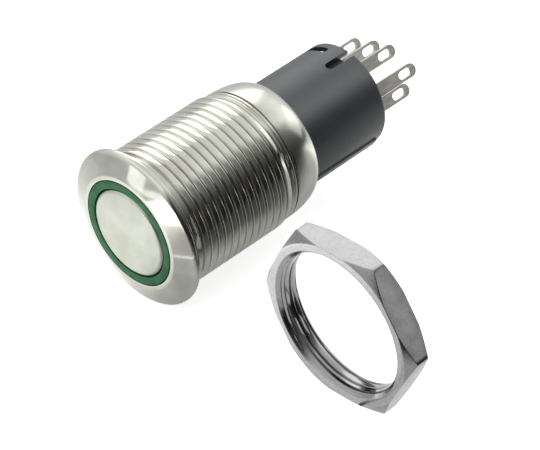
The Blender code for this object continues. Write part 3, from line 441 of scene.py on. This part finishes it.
class Surface(Nodes):
    """Short calls for a material's node tree, with the shader's plain values set at once."""

    def __init__(self, name, **values):
        self.material = bpy.data.materials.new(name)
        self.material.use_nodes = True
        super().__init__(self.material.node_tree)
        self.shader = self.tree.nodes["Principled BSDF"]
        for setting, value in values.items():
            self.shader.inputs[setting.replace("_", " ")].default_value = value

    def place(self, stretch=(1.0, 1.0, 1.0)):
        """The place on the piece, in metres, times the stretch."""
        mapping = self.node("ShaderNodeMapping")
        mapping.inputs["Scale"].default_value = stretch
        self.link(self.node("ShaderNodeTexCoord").outputs["Object"], mapping.inputs["Vector"])
        return mapping.outputs["Vector"]

    def axes(self):
        """The place on the piece as three numbers, X, Y and Z."""
        apart = self.node("ShaderNodeSeparateXYZ")
        self.link(self.place(), apart.inputs[0])
        return apart.outputs

    def radius_from(self, across, up):
        """Distance from an axis that runs along +Y."""
        moved = self.node("ShaderNodeVectorMath", operation="MULTIPLY_ADD")
        self.link(self.place(), moved.inputs[0])
        moved.inputs[1].default_value = (1.0, 0.0, 1.0)
        moved.inputs[2].default_value = (-across, 0.0, -up)
        radius = self.node("ShaderNodeVectorMath", operation="LENGTH")
        self.link(moved.outputs["Vector"], radius.inputs[0])
        return radius.outputs["Value"]

    def turned_place(self):
        """Distance from the switch's axis and depth, so that a pattern runs round the axis."""
        joined = self.node("ShaderNodeCombineXYZ")
        self.link(self.radius_from(0.0, 0.0), joined.inputs["X"])
        self.link(self.axes()["Y"], joined.inputs["Y"])
        return joined.outputs["Vector"]

    def noise(self, vector, pattern):
        """A noise value for a pattern of (scale, detail, roughness)."""
        made = self.node("ShaderNodeTexNoise")
        for name, value in zip(("Scale", "Detail", "Roughness"), pattern):
            made.inputs[name].default_value = value
        self.link(vector, made.inputs["Vector"])
        return made.outputs["Fac"]

    def spread(self, value, low, high, near=PATTERN_RANGE[0], far=PATTERN_RANGE[1]):
        """Stretches a value from between near and far to between low and high."""
        made = self.node("ShaderNodeMapRange")
        made.inputs["From Min"].default_value = near
        made.inputs["From Max"].default_value = far
        made.inputs["To Min"].default_value = low
        made.inputs["To Max"].default_value = high
        self.link(value, made.inputs["Value"])
        return made.outputs["Result"]

    def tinted(self, pattern, colours):
        """Goes from the lighter to the darker colour with the pattern."""
        light, dark = map(colour_of, colours)
        return self.blend(self.spread(pattern, 0.0, 1.0), light, dark)

    def sum(self, value, factor, added):
        """value times factor, plus added."""
        made = self.node("ShaderNodeMath", operation="MULTIPLY_ADD")
        for target, given in zip(made.inputs, (value, factor, added)):
            self.give(target, given)
        return made.outputs["Value"]

    def size_of(self, value):
        """The value without its sign."""
        made = self.node("ShaderNodeMath", operation="ABSOLUTE")
        self.link(value, made.inputs[0])
        return made.outputs["Value"]

    def bump(self, value, relief, before=None):
        """Relief of (strength, depth), over the relief that came before."""
        made = self.node("ShaderNodeBump")
        made.inputs["Strength"].default_value, made.inputs["Distance"].default_value = relief
        self.link(value, made.inputs["Height"])
        if before:
            self.link(before, made.inputs["Normal"])
        return made.outputs["Normal"]

    def wear(self, colours, roughness, bump):
        """Links the shader's colour, roughness and relief, and returns the material."""
        self.link(colours, self.shader.inputs["Base Color"])
        self.link(roughness, self.shader.inputs["Roughness"])
        self.link(bump, self.shader.inputs["Normal"])
        return self.material


def turned_metal(slot, ring_pattern, extra=0.0):
    """Turned metal: fine rings round the axis, soft stains and a little pitting.

    extra is how much rougher the collar is than the rest.
    """
    made = Surface(f"{slot}_fine", Metallic=1.0)
    rings = made.noise(made.turned_place(), ring_pattern)
    stains = made.noise(made.place(), TURNED_STAINS)
    pits = made.noise(made.place(), PITS)
    collar = made.spread(made.axes()["Y"], 0.0, extra, COLLAR_START + FIT, COLLAR_START + 4 * FIT)
    roughness = made.sum(collar, 1.0, made.spread(stains, *ROUGHNESS[slot]))
    relief = made.bump(pits, PIT_RELIEF, made.bump(rings, RING_RELIEF))
    return made.wear(made.tinted(stains, COLOURS[slot]), roughness, relief)


def brushed_metal(slot):
    """Metal with short scratches that run across their stretch, over soft stains."""
    made = Surface(f"{slot}_fine", Metallic=1.0)
    scratches = made.noise(made.place(SCRATCH_STRETCH[slot]), SCRATCHES)
    stains = made.noise(made.place(), STAINS)
    roughness = made.spread(stains, *ROUGHNESS[slot])
    return made.wear(made.tinted(scratches, COLOURS[slot]), roughness, made.bump(scratches, SCRATCH_RELIEF))


def nut_metal():
    """Scratched flats and chamfers, two lighter faces, and a glossier bore."""
    made = Surface("nut_metal_fine", Metallic=1.0)
    low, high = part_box("mounting_nut")
    middle = (low + high) / 2
    scratches = made.noise(made.place(NUT_STRETCH), NUT_SCRATCHES)
    stains = made.noise(made.place(), STAINS)
    from_middle = made.size_of(made.sum(made.axes()["Y"], 1.0, -middle.y))
    beside = made.spread(from_middle, 1.0, 0.0, NUT_THICKNESS / 2 - EDGE, NUT_THICKNESS / 2 - EDGE / 2)
    face = made.tinted(scratches, NUT_FACE_COLOURS)
    colours = made.blend(beside, face, made.tinted(scratches, NUT_SIDE_COLOURS))
    outside = made.spread(made.radius_from(middle.x, middle.z), 0.0, 1.0, NUT_ROOT, NUT_COUNTERSINK)
    bore = made.spread(stains, *NUT_BORE_ROUGHNESS)
    roughness = made.blend(outside, bore, made.spread(stains, *ROUGHNESS["nut_metal"]))
    return made.wear(colours, roughness, made.bump(scratches, STREAK_RELIEF))


def moulded_plastic(slot):
    """Moulded plastic: fine spark-eroded grain and faint mottling."""
    made = Surface(f"{slot}_fine", Specular_IOR_Level=PLASTIC_SHEEN[slot])
    grain = made.noise(made.place(), MOULD_GRAIN)
    colours = made.tinted(made.noise(made.place(), MOTTLING), COLOURS[slot])
    return made.wear(colours, made.spread(grain, *ROUGHNESS[slot]), made.bump(grain, MOULD_RELIEF))


def green_lens():
    """Unlit green light guide, its colour a little deeper in soft random clouds."""
    made = Surface(
        "green_lens_fine",
        Subsurface_Weight=LENS_SCATTER,
        Subsurface_Scale=LENS_SCATTER_DEPTH,
        Specular_IOR_Level=LENS_SHEEN,
    )
    cloud = made.noise(made.place(), STAINS)
    grain = made.noise(made.turned_place(), LENS_GRAIN)
    colours = made.tinted(cloud, COLOURS["green_lens"])
    roughness = made.spread(cloud, *ROUGHNESS["green_lens"])
    return made.wear(colours, roughness, made.bump(grain, LENS_RELIEF))


def tail_metal():
    """Silver plating that lets a little brass through near the terminal block."""
    made = Surface("tail_metal_fine", Metallic=TAIL_METALLIC)
    streaks = made.noise(made.place(TAIL_STRETCH), TAIL_STREAKS)
    stains = made.noise(made.place(), TAIL_STAINS)
    near = made.spread(made.axes()["Y"], 1.0, 0.0, HOUSING_REAR, HOUSING_REAR + BRASS_LENGTH)
    worn = made.sum(near, made.spread(stains, 0.0, 1.0), 0.0)
    colours = made.blend(worn, made.tinted(streaks, COLOURS["tail_metal"]), colour_of(BRASS_COLOUR))
    roughness = made.spread(stains, *ROUGHNESS["tail_metal"])
    return made.wear(colours, roughness, made.bump(streaks, STREAK_RELIEF))


def make_materials():
    """One material for each slot of the record."""
    made = {slot: moulded_plastic(slot) for slot in PLASTIC_SHEEN}
    for slot in SCRATCH_STRETCH:
        made[slot] = brushed_metal(slot)
    made["body_metal"] = turned_metal("body_metal", TURNED_RINGS, COLLAR_EXTRA_ROUGHNESS)
    made["button_metal"] = turned_metal("button_metal", FINE_TURNED_RINGS)
    made["nut_metal"] = nut_metal()
    made["green_lens"] = green_lens()
    made["tail_metal"] = tail_metal()
    return made


def arc(centre, radius, start_degrees, end_degrees, steps):
    """Points along an arc, both ends included."""
    made = []
    for i in range(steps + 1):
        angle = math.radians(start_degrees + (end_degrees - start_degrees) * i / steps)
        made.append((centre[0] + radius * math.cos(angle), centre[1] + radius * math.sin(angle)))
    return made


def rounded(profile):
    """Rounds each corner of a closed profile. A point may carry its own size of rounding."""
    made = []
    count = len(profile)
    for i, point in enumerate(profile):
        here = Vector(point[:2])
        back, ahead = Vector(profile[i - 1][:2]) - here, Vector(profile[(i + 1) % count][:2]) - here
        wanted = point[2] if len(point) > 2 else EDGE
        reach = min(wanted, back.length * ROUNDING_SHARE, ahead.length * ROUNDING_SHARE)
        turn = math.pi - back.angle(ahead)
        if point[0] < FIT or turn < math.radians(SHARP_TURN_DEGREES):
            made.append(tuple(here))
            continue
        first, last = here + back.normalized() * reach, here + ahead.normalized() * reach
        for j in range(ROUNDING_STEPS + 1):
            part = j / ROUNDING_STEPS
            bend = first * (1 - part) ** 2 + here * 2 * part * (1 - part) + last * part**2
            made.append(tuple(bend))
    return made


def mesh_from(bm, name):
    """Turns a working mesh into one that an object can carry."""
    mesh = bpy.data.meshes.new(name)
    bm.to_mesh(mesh)
    bm.free()
    return mesh


def placed(name, data):
    """Puts a new object for a mesh, light or camera into the scene."""
    obj = bpy.data.objects.new(name, data)
    bpy.context.scene.collection.objects.link(obj)
    return obj


def finish_mesh(name, bm, node, body, slot, sharp_degrees=SHARP_DEGREES):
    """Makes the piece that stands for a CAD node."""
    bmesh.ops.remove_doubles(bm, verts=bm.verts, dist=MERGE_GAP)
    bmesh.ops.recalc_face_normals(bm, faces=bm.faces)
    mesh = mesh_from(bm, name)
    mesh.shade_smooth()
    mesh.set_sharp_from_angle(angle=math.radians(sharp_degrees))
    mesh.materials.append(materials[slot])
    obj = placed(name, mesh)
    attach(obj, body)
    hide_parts(node)
    return obj


def join_rows(bm, rows):
    """Joins each closed row of points to the next one with faces."""
    for left, right in zip(rows, rows[1:]):
        for j in range(len(left)):
            bm.faces.new((left[j - 1], left[j], right[j], right[j - 1]))


def swept(columns, centre=(0.0, 0.0)):
    """A surface round an axis along +Y. Each column is a loop of (radius, depth) at its angle.

    The last column lies where the first one does, and the two are merged when the mesh is finished.
    """
    bm = bmesh.new()
    rows = []
    for i, column in enumerate(columns):
        angle = 2 * math.pi * i / (len(columns) - 1)
        across, up = math.cos(angle), math.sin(angle)
        rows.append([
            bm.verts.new((centre[0] + radius * across, depth, centre[1] + radius * up))
            for radius, depth in column
        ])
    join_rows(bm, rows)
    return bm


def round_piece(profile):
    """A turned surface that has the same profile all the way round."""
    return swept([profile] * (FINE + 1))


def thread_points(part, start, end, root, crest):
    """One column of a helical thread, a part of the way round. It rises and fades over its end turns."""
    turns = round((end - start) / THREAD_PITCH) + 2
    made = []
    for turn in range(turns):
        for fraction, height in THREAD_SHAPE:
            depth = start + THREAD_PITCH * (turn + fraction - part)
            depth = min(max(depth, start), end)
            reach = min(depth - start, end - depth) / THREAD_PITCH
            fade = min(1.0, THREAD_FADE + (1 - THREAD_FADE) * reach) if reach > 0 else 0.0
            made.append((root + (crest - root) * height * fade, depth))
    return made


def make_body():
    """Bevelled flange, rounded thread, groove and domed collar."""
    front = rounded([
        (BORE_RADIUS, THREAD_END),
        (BORE_RADIUS, FACE_DEPTH),
        (BORE_RADIUS + LIP_WIDTH, FACE_DEPTH),
        (FLANGE_RADIUS - FLANGE_CORNER, BEVEL_END, SOFT_EDGE),
        (FLANGE_RADIUS, BEVEL_END + FLANGE_CORNER, SOFT_EDGE),
        (FLANGE_RADIUS, SEAT_DEPTH),
        (PILOT_RADIUS, SEAT_DEPTH),
        (PILOT_RADIUS, SEAT_DEPTH + PILOT_LENGTH),
        (THREAD_ROOT, THREAD_START),
    ])
    drop = (LAND_RADIUS - COLLAR_REAR_RADIUS) / (BODY_REAR - COLLAR_START)
    dome = [
        (COLLAR_REAR_RADIUS + drop * across, COLLAR_START + along)
        for across, along in arc((0.0, 0.0), BODY_REAR - COLLAR_START, 0, 90, DOME_STEPS)
    ]
    rear = rounded([
        (THREAD_ROOT, THREAD_END),
        (THREAD_ROOT, THREAD_END + LAND_WIDTH - EDGE, EDGE / 2),
        (LAND_RADIUS, THREAD_END + LAND_WIDTH, EDGE / 2),
        (LAND_RADIUS, THREAD_END + 2 * LAND_WIDTH),
        (GROOVE_RADIUS, THREAD_END + 2 * LAND_WIDTH),
        (GROOVE_RADIUS, COLLAR_START),
        *dome,
        (BORE_RADIUS, BODY_REAR),
    ])
    columns = []
    for i in range(FINE + 1):
        ridge = thread_points(i / FINE, THREAD_START, THREAD_END, THREAD_ROOT, THREAD_CREST)
        columns.append(front + ridge + rear)
    finish_mesh("body_shell", swept(columns), "bezel_body", "housing", "body_metal")


def make_light_ring():
    """Plain ring with rounded edges."""
    profile = rounded([
        (RING_INNER, FACE_DEPTH),
        (RING_OUTER, FACE_DEPTH),
        (RING_OUTER, RING_REAR),
        (RING_INNER, RING_REAR),
    ])
    finish_mesh("ring_lens", round_piece(profile), "light_ring", "housing", "green_lens")


def make_button():
    """Button with a rounded rim, its seal groove, spring pocket and stem."""
    rim = arc((BUTTON_RADIUS - BUTTON_EDGE, BUTTON_EDGE), BUTTON_EDGE, -90, 0, RIM_STEPS)
    groove_start, groove_end = SEAL_GROOVE
    clip_start, clip_end = CLIP_GROOVE
    profile = rounded([
        (0.0, 0.0),
        *rim,
        (BUTTON_RADIUS, groove_start),
        (SEAL_GROOVE_RADIUS, groove_start),
        (SEAL_GROOVE_RADIUS, groove_end),
        (BUTTON_RADIUS, groove_end),
        (BUTTON_RADIUS, BUTTON_LENGTH),
        (POCKET_OUTER, BUTTON_LENGTH),
        (POCKET_OUTER, POCKET_FLOOR),
        (POCKET_INNER, POCKET_FLOOR),
        (POCKET_INNER, BUTTON_LENGTH),
        (STEM_RADIUS, BUTTON_LENGTH + POCKET_INNER - STEM_RADIUS),
        (STEM_RADIUS, clip_start),
        (CLIP_GROOVE_RADIUS, clip_start),
        (CLIP_GROOVE_RADIUS, clip_end),
        (STEM_RADIUS, clip_end),
        (STEM_RADIUS, STEM_END),
        (0.0, STEM_END),
    ])
    finish_mesh("button_face", round_piece(profile), "button_cap", "button", "button_metal")


def make_spring():
    """Compression spring with a closed turn at each end."""
    low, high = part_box("return_spring")
    radius = (POCKET_INNER + POCKET_OUTER) / 2
    length = high.y - low.y
    closed = 2 * SPRING_WIRE_RADIUS + FIT
    opened = (length - 2 * SPRING_WIRE_RADIUS - 2 * closed) / (SPRING_TURNS - 2)
    bm = bmesh.new()
    rings = []
    for i in range(SPRING_TURNS * SPRING_STEPS + 1):
        turn = i / SPRING_STEPS
        last = max(turn - SPRING_TURNS + 1, 0.0)
        open_turns = max(turn - 1.0, 0.0) - last
        depth = low.y + SPRING_WIRE_RADIUS + closed * (min(turn, 1.0) + last) + opened * open_turns
        out = Vector((math.cos(2 * math.pi * turn), 0.0, math.sin(2 * math.pi * turn)))
        wire = arc((radius, depth), SPRING_WIRE_RADIUS, 0, 360, SPRING_SIDES)[1:]
        rings.append([bm.verts.new(out * across + Vector((0.0, along, 0.0))) for across, along in wire])
    join_rows(bm, rings)
    bm.faces.new(rings[0])
    bm.faces.new(rings[-1])
    obj = finish_mesh("spring_coil", bm, "return_spring", "housing", "spring_steel")
    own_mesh(obj)


def wrapped_block(outline, inner, outer):
    """A block bent round the switch's axis. The outline's points are (angle in degrees, depth)."""
    bm = bmesh.new()
    points = [(math.radians(degrees), depth) for degrees, depth in outline]
    sides = [
        [bm.verts.new((radius * math.cos(angle), depth, radius * math.sin(angle))) for angle, depth in points]
        for radius in (inner, outer)
    ]
    join_rows(bm, sides)
    for side in sides:
        bm.faces.new(side)
    bmesh.ops.recalc_face_normals(bm, faces=bm.faces)
    return placed("block", mesh_from(bm, "block"))


def stadium(centre, length, width):
    """A slot's outline with round ends, long along its second coordinate."""
    half = (length - width) / 2
    high = arc((centre[0], centre[1] + half), width / 2, 0, 180, SLOT_STEPS)
    low = arc((centre[0], centre[1] - half), width / 2, 180, 360, SLOT_STEPS)
    return high + low


def ease_edges(obj, width, segments):
    """Takes the sharpness off a piece's edges."""
    eased = obj.modifiers.new("eased", "BEVEL")
    eased.width = width
    eased.segments = segments
    eased.limit_method = "ANGLE"
    eased.angle_limit = math.radians(EASED_DEGREES)
    weighted = obj.modifiers.new("weighted", "WEIGHTED_NORMAL")
    weighted.keep_sharp = True


def housing_features():
    """The key rib and the two slots, each as (outline, inner radius, outer radius, operation)."""
    per_metre = math.degrees(1 / HOUSING_RADIUS)
    half = KEY_RIB_WIDTH / 2 * per_metre
    across_rib = [half * i / RIB_STEPS for i in range(-RIB_STEPS, RIB_STEPS + 1)]
    rib = [(KEY_RIB_ANGLE + across, BODY_REAR + LOOSE_FIT) for across in across_rib]
    rib += [(KEY_RIB_ANGLE - across, KEY_RIB_END) for across in across_rib]
    end = HOUSING_REAR + AXIAL_SLOT_WIDTH
    start = HOUSING_REAR - AXIAL_SLOT_LENGTH
    axial = [
        (AXIAL_SLOT_ANGLE + across * per_metre, depth)
        for across, depth in stadium((0.0, (start + end) / 2), end - start, AXIAL_SLOT_WIDTH)
    ]
    first, last = ROUND_SLOT_ANGLES
    length = (last - first) / per_metre
    place = HOUSING_REAR - ROUND_SLOT_INSET
    crosswise = [
        ((first + last) / 2 + across * per_metre, place + along)
        for along, across in stadium((0.0, 0.0), length, ROUND_SLOT_WIDTH)
    ]
    outside = HOUSING_RADIUS + LOOSE_FIT
    inside = (HOUSING_SKIRT + HOUSING_RADIUS) / 2
    return (
        (rib, inside, HOUSING_RADIUS + KEY_RIB_HEIGHT, "UNION"),
        (axial, HOUSING_CAVITY, outside, "DIFFERENCE"),
        (crosswise, HOUSING_CAVITY, outside, "DIFFERENCE"),
    )


def make_housing():
    """Moulded housing: rounded rim, two slots, a key rib and the groove of its seal."""
    seal_start, seal_end = HOUSING_SEAL
    corner = (HOUSING_RADIUS - HOUSING_ROUNDING, HOUSING_REAR - HOUSING_ROUNDING)
    profile = rounded([
        (HOUSING_CAVITY, HOUSING_FRONT),
        (HOUSING_RADIUS, HOUSING_FRONT),
        (HOUSING_RADIUS, seal_start),
        (HOUSING_SEAL_RADIUS, seal_start),
        (HOUSING_SEAL_RADIUS, seal_end),
        (HOUSING_RADIUS, seal_end),
        *arc(corner, HOUSING_ROUNDING, 0, 90, RIM_STEPS),
        (HOUSING_SKIRT, HOUSING_REAR),
        (HOUSING_SKIRT, HOUSING_SHOULDER),
        (HOUSING_CAVITY, HOUSING_SHOULDER),
    ])
    bm = round_piece(profile)
    obj = finish_mesh("housing_shell", bm, "rear_housing", "housing", "dark_plastic", HOUSING_SHARP_DEGREES)
    for outline, low, high, operation in housing_features():
        helper = wrapped_block(outline, low, high)
        modifier = obj.modifiers.new(operation, "BOOLEAN")
        modifier.operation = operation
        modifier.object = helper
        modifier.solver = "EXACT"
        shape = bpy.data.meshes.new_from_object(obj.evaluated_get(bpy.context.evaluated_depsgraph_get()))
        obj.modifiers.clear()
        obj.data = shape
        bpy.data.objects.remove(helper)
    ease_edges(obj, *HOUSING_EASE)


def nut_reach(angle):
    """Distance from the nut's axis to its hexagon at an angle, with the corners slightly rounded."""
    flat = NUT_ACROSS_FLATS / 2
    turn = 2 * math.pi / NUT_SIDES
    from_flat = (angle % turn) - turn / 2
    corner = flat / math.cos(turn / 2) - EDGE
    return min(flat / math.cos(from_flat), corner)


def make_nut():
    """Thin hexagon nut: chamfered corners, countersunk bore and a rounded thread."""
    low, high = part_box("mounting_nut")
    middle = (low + high) / 2
    half = NUT_THICKNESS / 2
    slope = math.tan(math.radians(NUT_CHAMFER_DEGREES))
    columns = []
    for i in range(NUT_STEPS + 1):
        reach = nut_reach(2 * math.pi * i / NUT_STEPS)
        face = min(NUT_FACE_RADIUS, reach - EDGE)
        shoulder = half - (reach - face) * slope
        outside = rounded([
            (NUT_COUNTERSINK, -half),
            (face, -half),
            (reach, -shoulder),
            (reach, shoulder),
            (face, half),
            (NUT_COUNTERSINK, half),
        ])
        bore = []
        for radius, depth in thread_points(i / NUT_STEPS, -half, half, NUT_ROOT, NUT_CREST):
            sunk = NUT_COUNTERSINK - (half - abs(depth))
            bore.append((max(radius, sunk), depth))
        column = outside + bore[::-1]
        columns.append([(radius, depth + middle.y) for radius, depth in column])
    bm = swept(columns, (middle.x, middle.z))
    finish_mesh("nut_shell", bm, "mounting_nut", "housing", "nut_metal", NUT_SHARP_DEGREES)


def solid_shape(node):
    """A CAD node's own shape, with its flat areas joined."""
    bm = bmesh.new()
    bm.from_mesh(frame["nodes"][node].data)
    bmesh.ops.remove_doubles(bm, verts=bm.verts, dist=SOLID_MERGE_GAP)
    flat = math.radians(FLAT_DEGREES)
    bmesh.ops.dissolve_limit(bm, angle_limit=flat, verts=bm.verts, edges=bm.edges)
    return bm


def inner_strip(name):
    """The solid's own strip inside the switch, closed where the fine tail begins."""
    inner = solid_shape(f"terminal_{name}")
    everything = inner.verts[:] + inner.edges[:] + inner.faces[:]
    level = Vector((0.0, TAIL_START, 0.0))
    cut = bmesh.ops.bisect_plane(inner, geom=everything, plane_co=level, plane_no=level, clear_outer=True)
    edges = [item for item in cut["geom_cut"] if isinstance(item, bmesh.types.BMEdge)]
    bmesh.ops.edgenet_fill(inner, edges=edges)
    return inner


def tail_outlines():
    """Two loops of (place across, depth): a tail's hole, and its round tip with the sides beside the hole."""
    half = TAIL_WIDTH / 2
    middle = TAIL_TIP - TAIL_HOLE_FROM_TIP
    hole = stadium((0.0, middle), TAIL_HOLE_LENGTH, TAIL_HOLE_WIDTH)
    count = len(hole) // 2
    tip = arc((0.0, TAIL_TIP - half), half, 0, 180, count - 1)
    foot = middle - TAIL_HOLE_ROOM
    sides = [(half * math.cos(math.pi * (1 + i / (count - 1))), foot) for i in range(count)]
    return hole, tip + sides


def tail_plate():
    """A flat tail that is one unit thick along X, with its width along Y and its depth along Z."""
    flat = bmesh.new()
    hole, outside = [
        [flat.verts.new((-0.5, *point)) for point in outline]
        for outline in tail_outlines()
    ]
    join_rows(flat, (hole, outside))
    edge = outside[len(outside) // 2:]
    half = TAIL_WIDTH / 2
    for depth in (TAIL_COIN_DEPTH, TAIL_COIN_DEPTH - LOOSE_FIT, TAIL_START):
        row = [flat.verts.new((-0.5, side, depth)) for side in (-half, half)]
        flat.faces.new((*edge, row[1], row[0]))
        edge = row
    made = bmesh.ops.extrude_face_region(flat, geom=flat.faces[:])
    moved = [item for item in made["geom"] if isinstance(item, bmesh.types.BMVert)]
    bmesh.ops.translate(flat, verts=moved, vec=(1.0, 0.0, 0.0))
    return flat


def make_tail(name):
    """A solder tail with fine round ends, on the solid's own strip inside the switch."""
    across, place = TAIL_PLACES[name]
    turn = math.radians(CONTACT_FRAME_ANGLE)
    thick_way = Vector((math.cos(turn), 0.0, math.sin(turn)))
    wide_way = Vector((math.sin(turn), 0.0, -math.cos(turn)))
    flat = tail_plate()
    for vert in flat.verts:
        thickness = TAIL_THICKNESS if vert.co.z > TAIL_COIN_DEPTH - FIT else STRIP_THICKNESS
        where = thick_way * (across + vert.co.x * thickness) + wide_way * (place + vert.co.y)
        vert.co = (where.x, vert.co.z, where.z)
    inner = inner_strip(name)
    inner.from_mesh(mesh_from(flat, "tail"))
    obj = finish_mesh(f"tail_{name}", inner, f"terminal_{name}", "housing", "tail_metal")
    ease_edges(obj, *TAIL_EASE)


def make_block():
    """The terminal block's own shape with its edges eased."""
    bm = solid_shape("terminal_block")
    obj = finish_mesh("block_shell", bm, "terminal_block", "housing", "black_plastic")
    ease_edges(obj, *BLOCK_EASE)


def look_camera():
    """The camera of the photograph."""
    azimuth, elevation, roll = map(math.radians, (CAMERA_AZIMUTH, CAMERA_ELEVATION, CAMERA_ROLL))
    ahead = Vector((
        -math.sin(azimuth) * math.cos(elevation),
        math.cos(azimuth) * math.cos(elevation),
        -math.sin(elevation),
    ))
    level = Vector((math.cos(azimuth), math.sin(azimuth), 0.0))
    upright = level.cross(ahead)
    right = level * math.cos(roll) + upright * math.sin(roll)
    up = upright * math.cos(roll) - level * math.sin(roll)
    data = bpy.data.cameras.new("camera")
    data.sensor_width = SENSOR_WIDTH
    data.lens = FOCAL_PIXELS * SENSOR_WIDTH / IMAGE_WIDTH
    data.clip_start, data.clip_end = CAMERA_CLIP
    camera = placed("camera", data)
    turn = Matrix((right, up, -ahead)).transposed().to_4x4()
    camera.matrix_world = Matrix.Translation(CAMERA_PLACE) @ turn
    bpy.context.scene.camera = camera


def softbox(name, place, target, size, strength, only):
    """An oblong area light that faces its target, or straight up where it has none.

    Its second side is upright or along +Y. strength is its brightness. only is the one piece that it lights.
    """
    data = bpy.data.lights.new(name, "AREA")
    data.shape = "RECTANGLE"
    data.size, data.size_y = size
    data.energy = strength * math.pi * size[0] * size[1]
    light = placed(name, data)
    way = Vector(target or (place[0], place[1], 1.0)) - Vector(place)
    light.location = place
    light.rotation_euler = way.to_track_quat("-Z", "Y").to_euler()
    light.visible_camera = False
    if only:
        receivers = bpy.data.collections.new(f"{name}_receivers")
        receivers.objects.link(bpy.data.objects[only])
        light.light_linking.receiver_collection = receivers


def make_floor(level):
    """Pale paper, evenly white to the camera. Seen in the metal, it carries painted light and shade and a
    painted glow, darker towards the unlit side of the studio.
    """
    bm = bmesh.new()
    bmesh.ops.create_grid(bm, x_segments=1, y_segments=1, size=FLOOR_HALF_WIDTH)
    mesh = mesh_from(bm, "floor")
    floor = placed("floor", mesh)
    floor.location = (0.0, 0.0, level)
    made = Surface("floor_paper_painted_light", Roughness=FLOOR_ROUGHNESS, Specular_IOR_Level=0.0, Emission_Color=WHITE)
    where = made.axes()
    behind = made.sum(where["Y"], 1.0, -FLOOR_BEND_DEPTH)
    slanted = made.sum(behind, FLOOR_SLANT, where["X"])
    beside = made.sum(made.size_of(behind), FLOOR_BEND, slanted)
    # Painted light and shade on the floor, seen only in reflections
    shade = made.ramp(made.spread(beside, 0.0, 1.0, *FLOOR_REACH), FLOOR_PAINTED_LIGHT)
    seen = made.node("ShaderNodeLightPath").outputs["Is Camera Ray"]
    colours = made.blend(seen, made.sum(shade, FLOOR_PAINTED_SHADE_COLOUR, 0.0), FLOOR_COLOUR)
    # Painted glow: even white to the camera, brighter and darker by place in reflections
    glow = made.blend(seen, made.sum(shade, FLOOR_PAINTED_GLOW, 0.0), FLOOR_GLOW, "FLOAT")
    made.link(colours, made.shader.inputs["Base Color"])
    made.link(glow, made.shader.inputs["Emission Strength"])
    mesh.materials.append(made.material)


def make_world():
    """A bright studio wall on the left and behind, a dark room on the camera's side, and a soft ceiling."""
    world = bpy.data.worlds.new("studio")
    bpy.context.scene.world = world
    world.use_nodes = True
    made = Nodes(world.node_tree)
    way = made.node("ShaderNodeTexCoord").outputs["Generated"]
    toward = made.node("ShaderNodeVectorMath", operation="DOT_PRODUCT")
    toward.inputs[1].default_value = LIT_SIDE
    made.link(way, toward.inputs[0])
    apart = made.node("ShaderNodeSeparateXYZ")
    made.link(way, apart.inputs[0])
    height = apart.outputs["Z"]
    share = made.node("ShaderNodeMapRange", interpolation_type="SMOOTHSTEP")
    share.inputs["From Min"].default_value, share.inputs["From Max"].default_value = WALL_EDGE
    made.link(toward.outputs["Value"], share.inputs["Value"])
    sky = made.blend(share.outputs["Result"], made.ramp(height, ROOM_SHADES), made.ramp(height, WALL_SHADES))
    seen = made.node("ShaderNodeLightPath").outputs["Is Camera Ray"]
    made.link(made.blend(seen, sky, WHITE), made.tree.nodes["Background"].inputs["Color"])


materials = make_materials()
for subpart in frame["record"]["subparts"]:
    frame["nodes"][subpart["node"]].material_slots[0].material = materials[subpart["material_slot"]]
make_body()
make_light_ring()
make_button()
make_spring()
make_nut()
make_housing()
make_block()
for name in TAIL_PLACES:
    make_tail(name)
make_floor(cad_box[0].z)
make_world()
for name, settings in LIGHTS.items():
    softbox(name, *settings)
look_camera()
bpy.context.scene.view_settings.view_transform = "Standard"
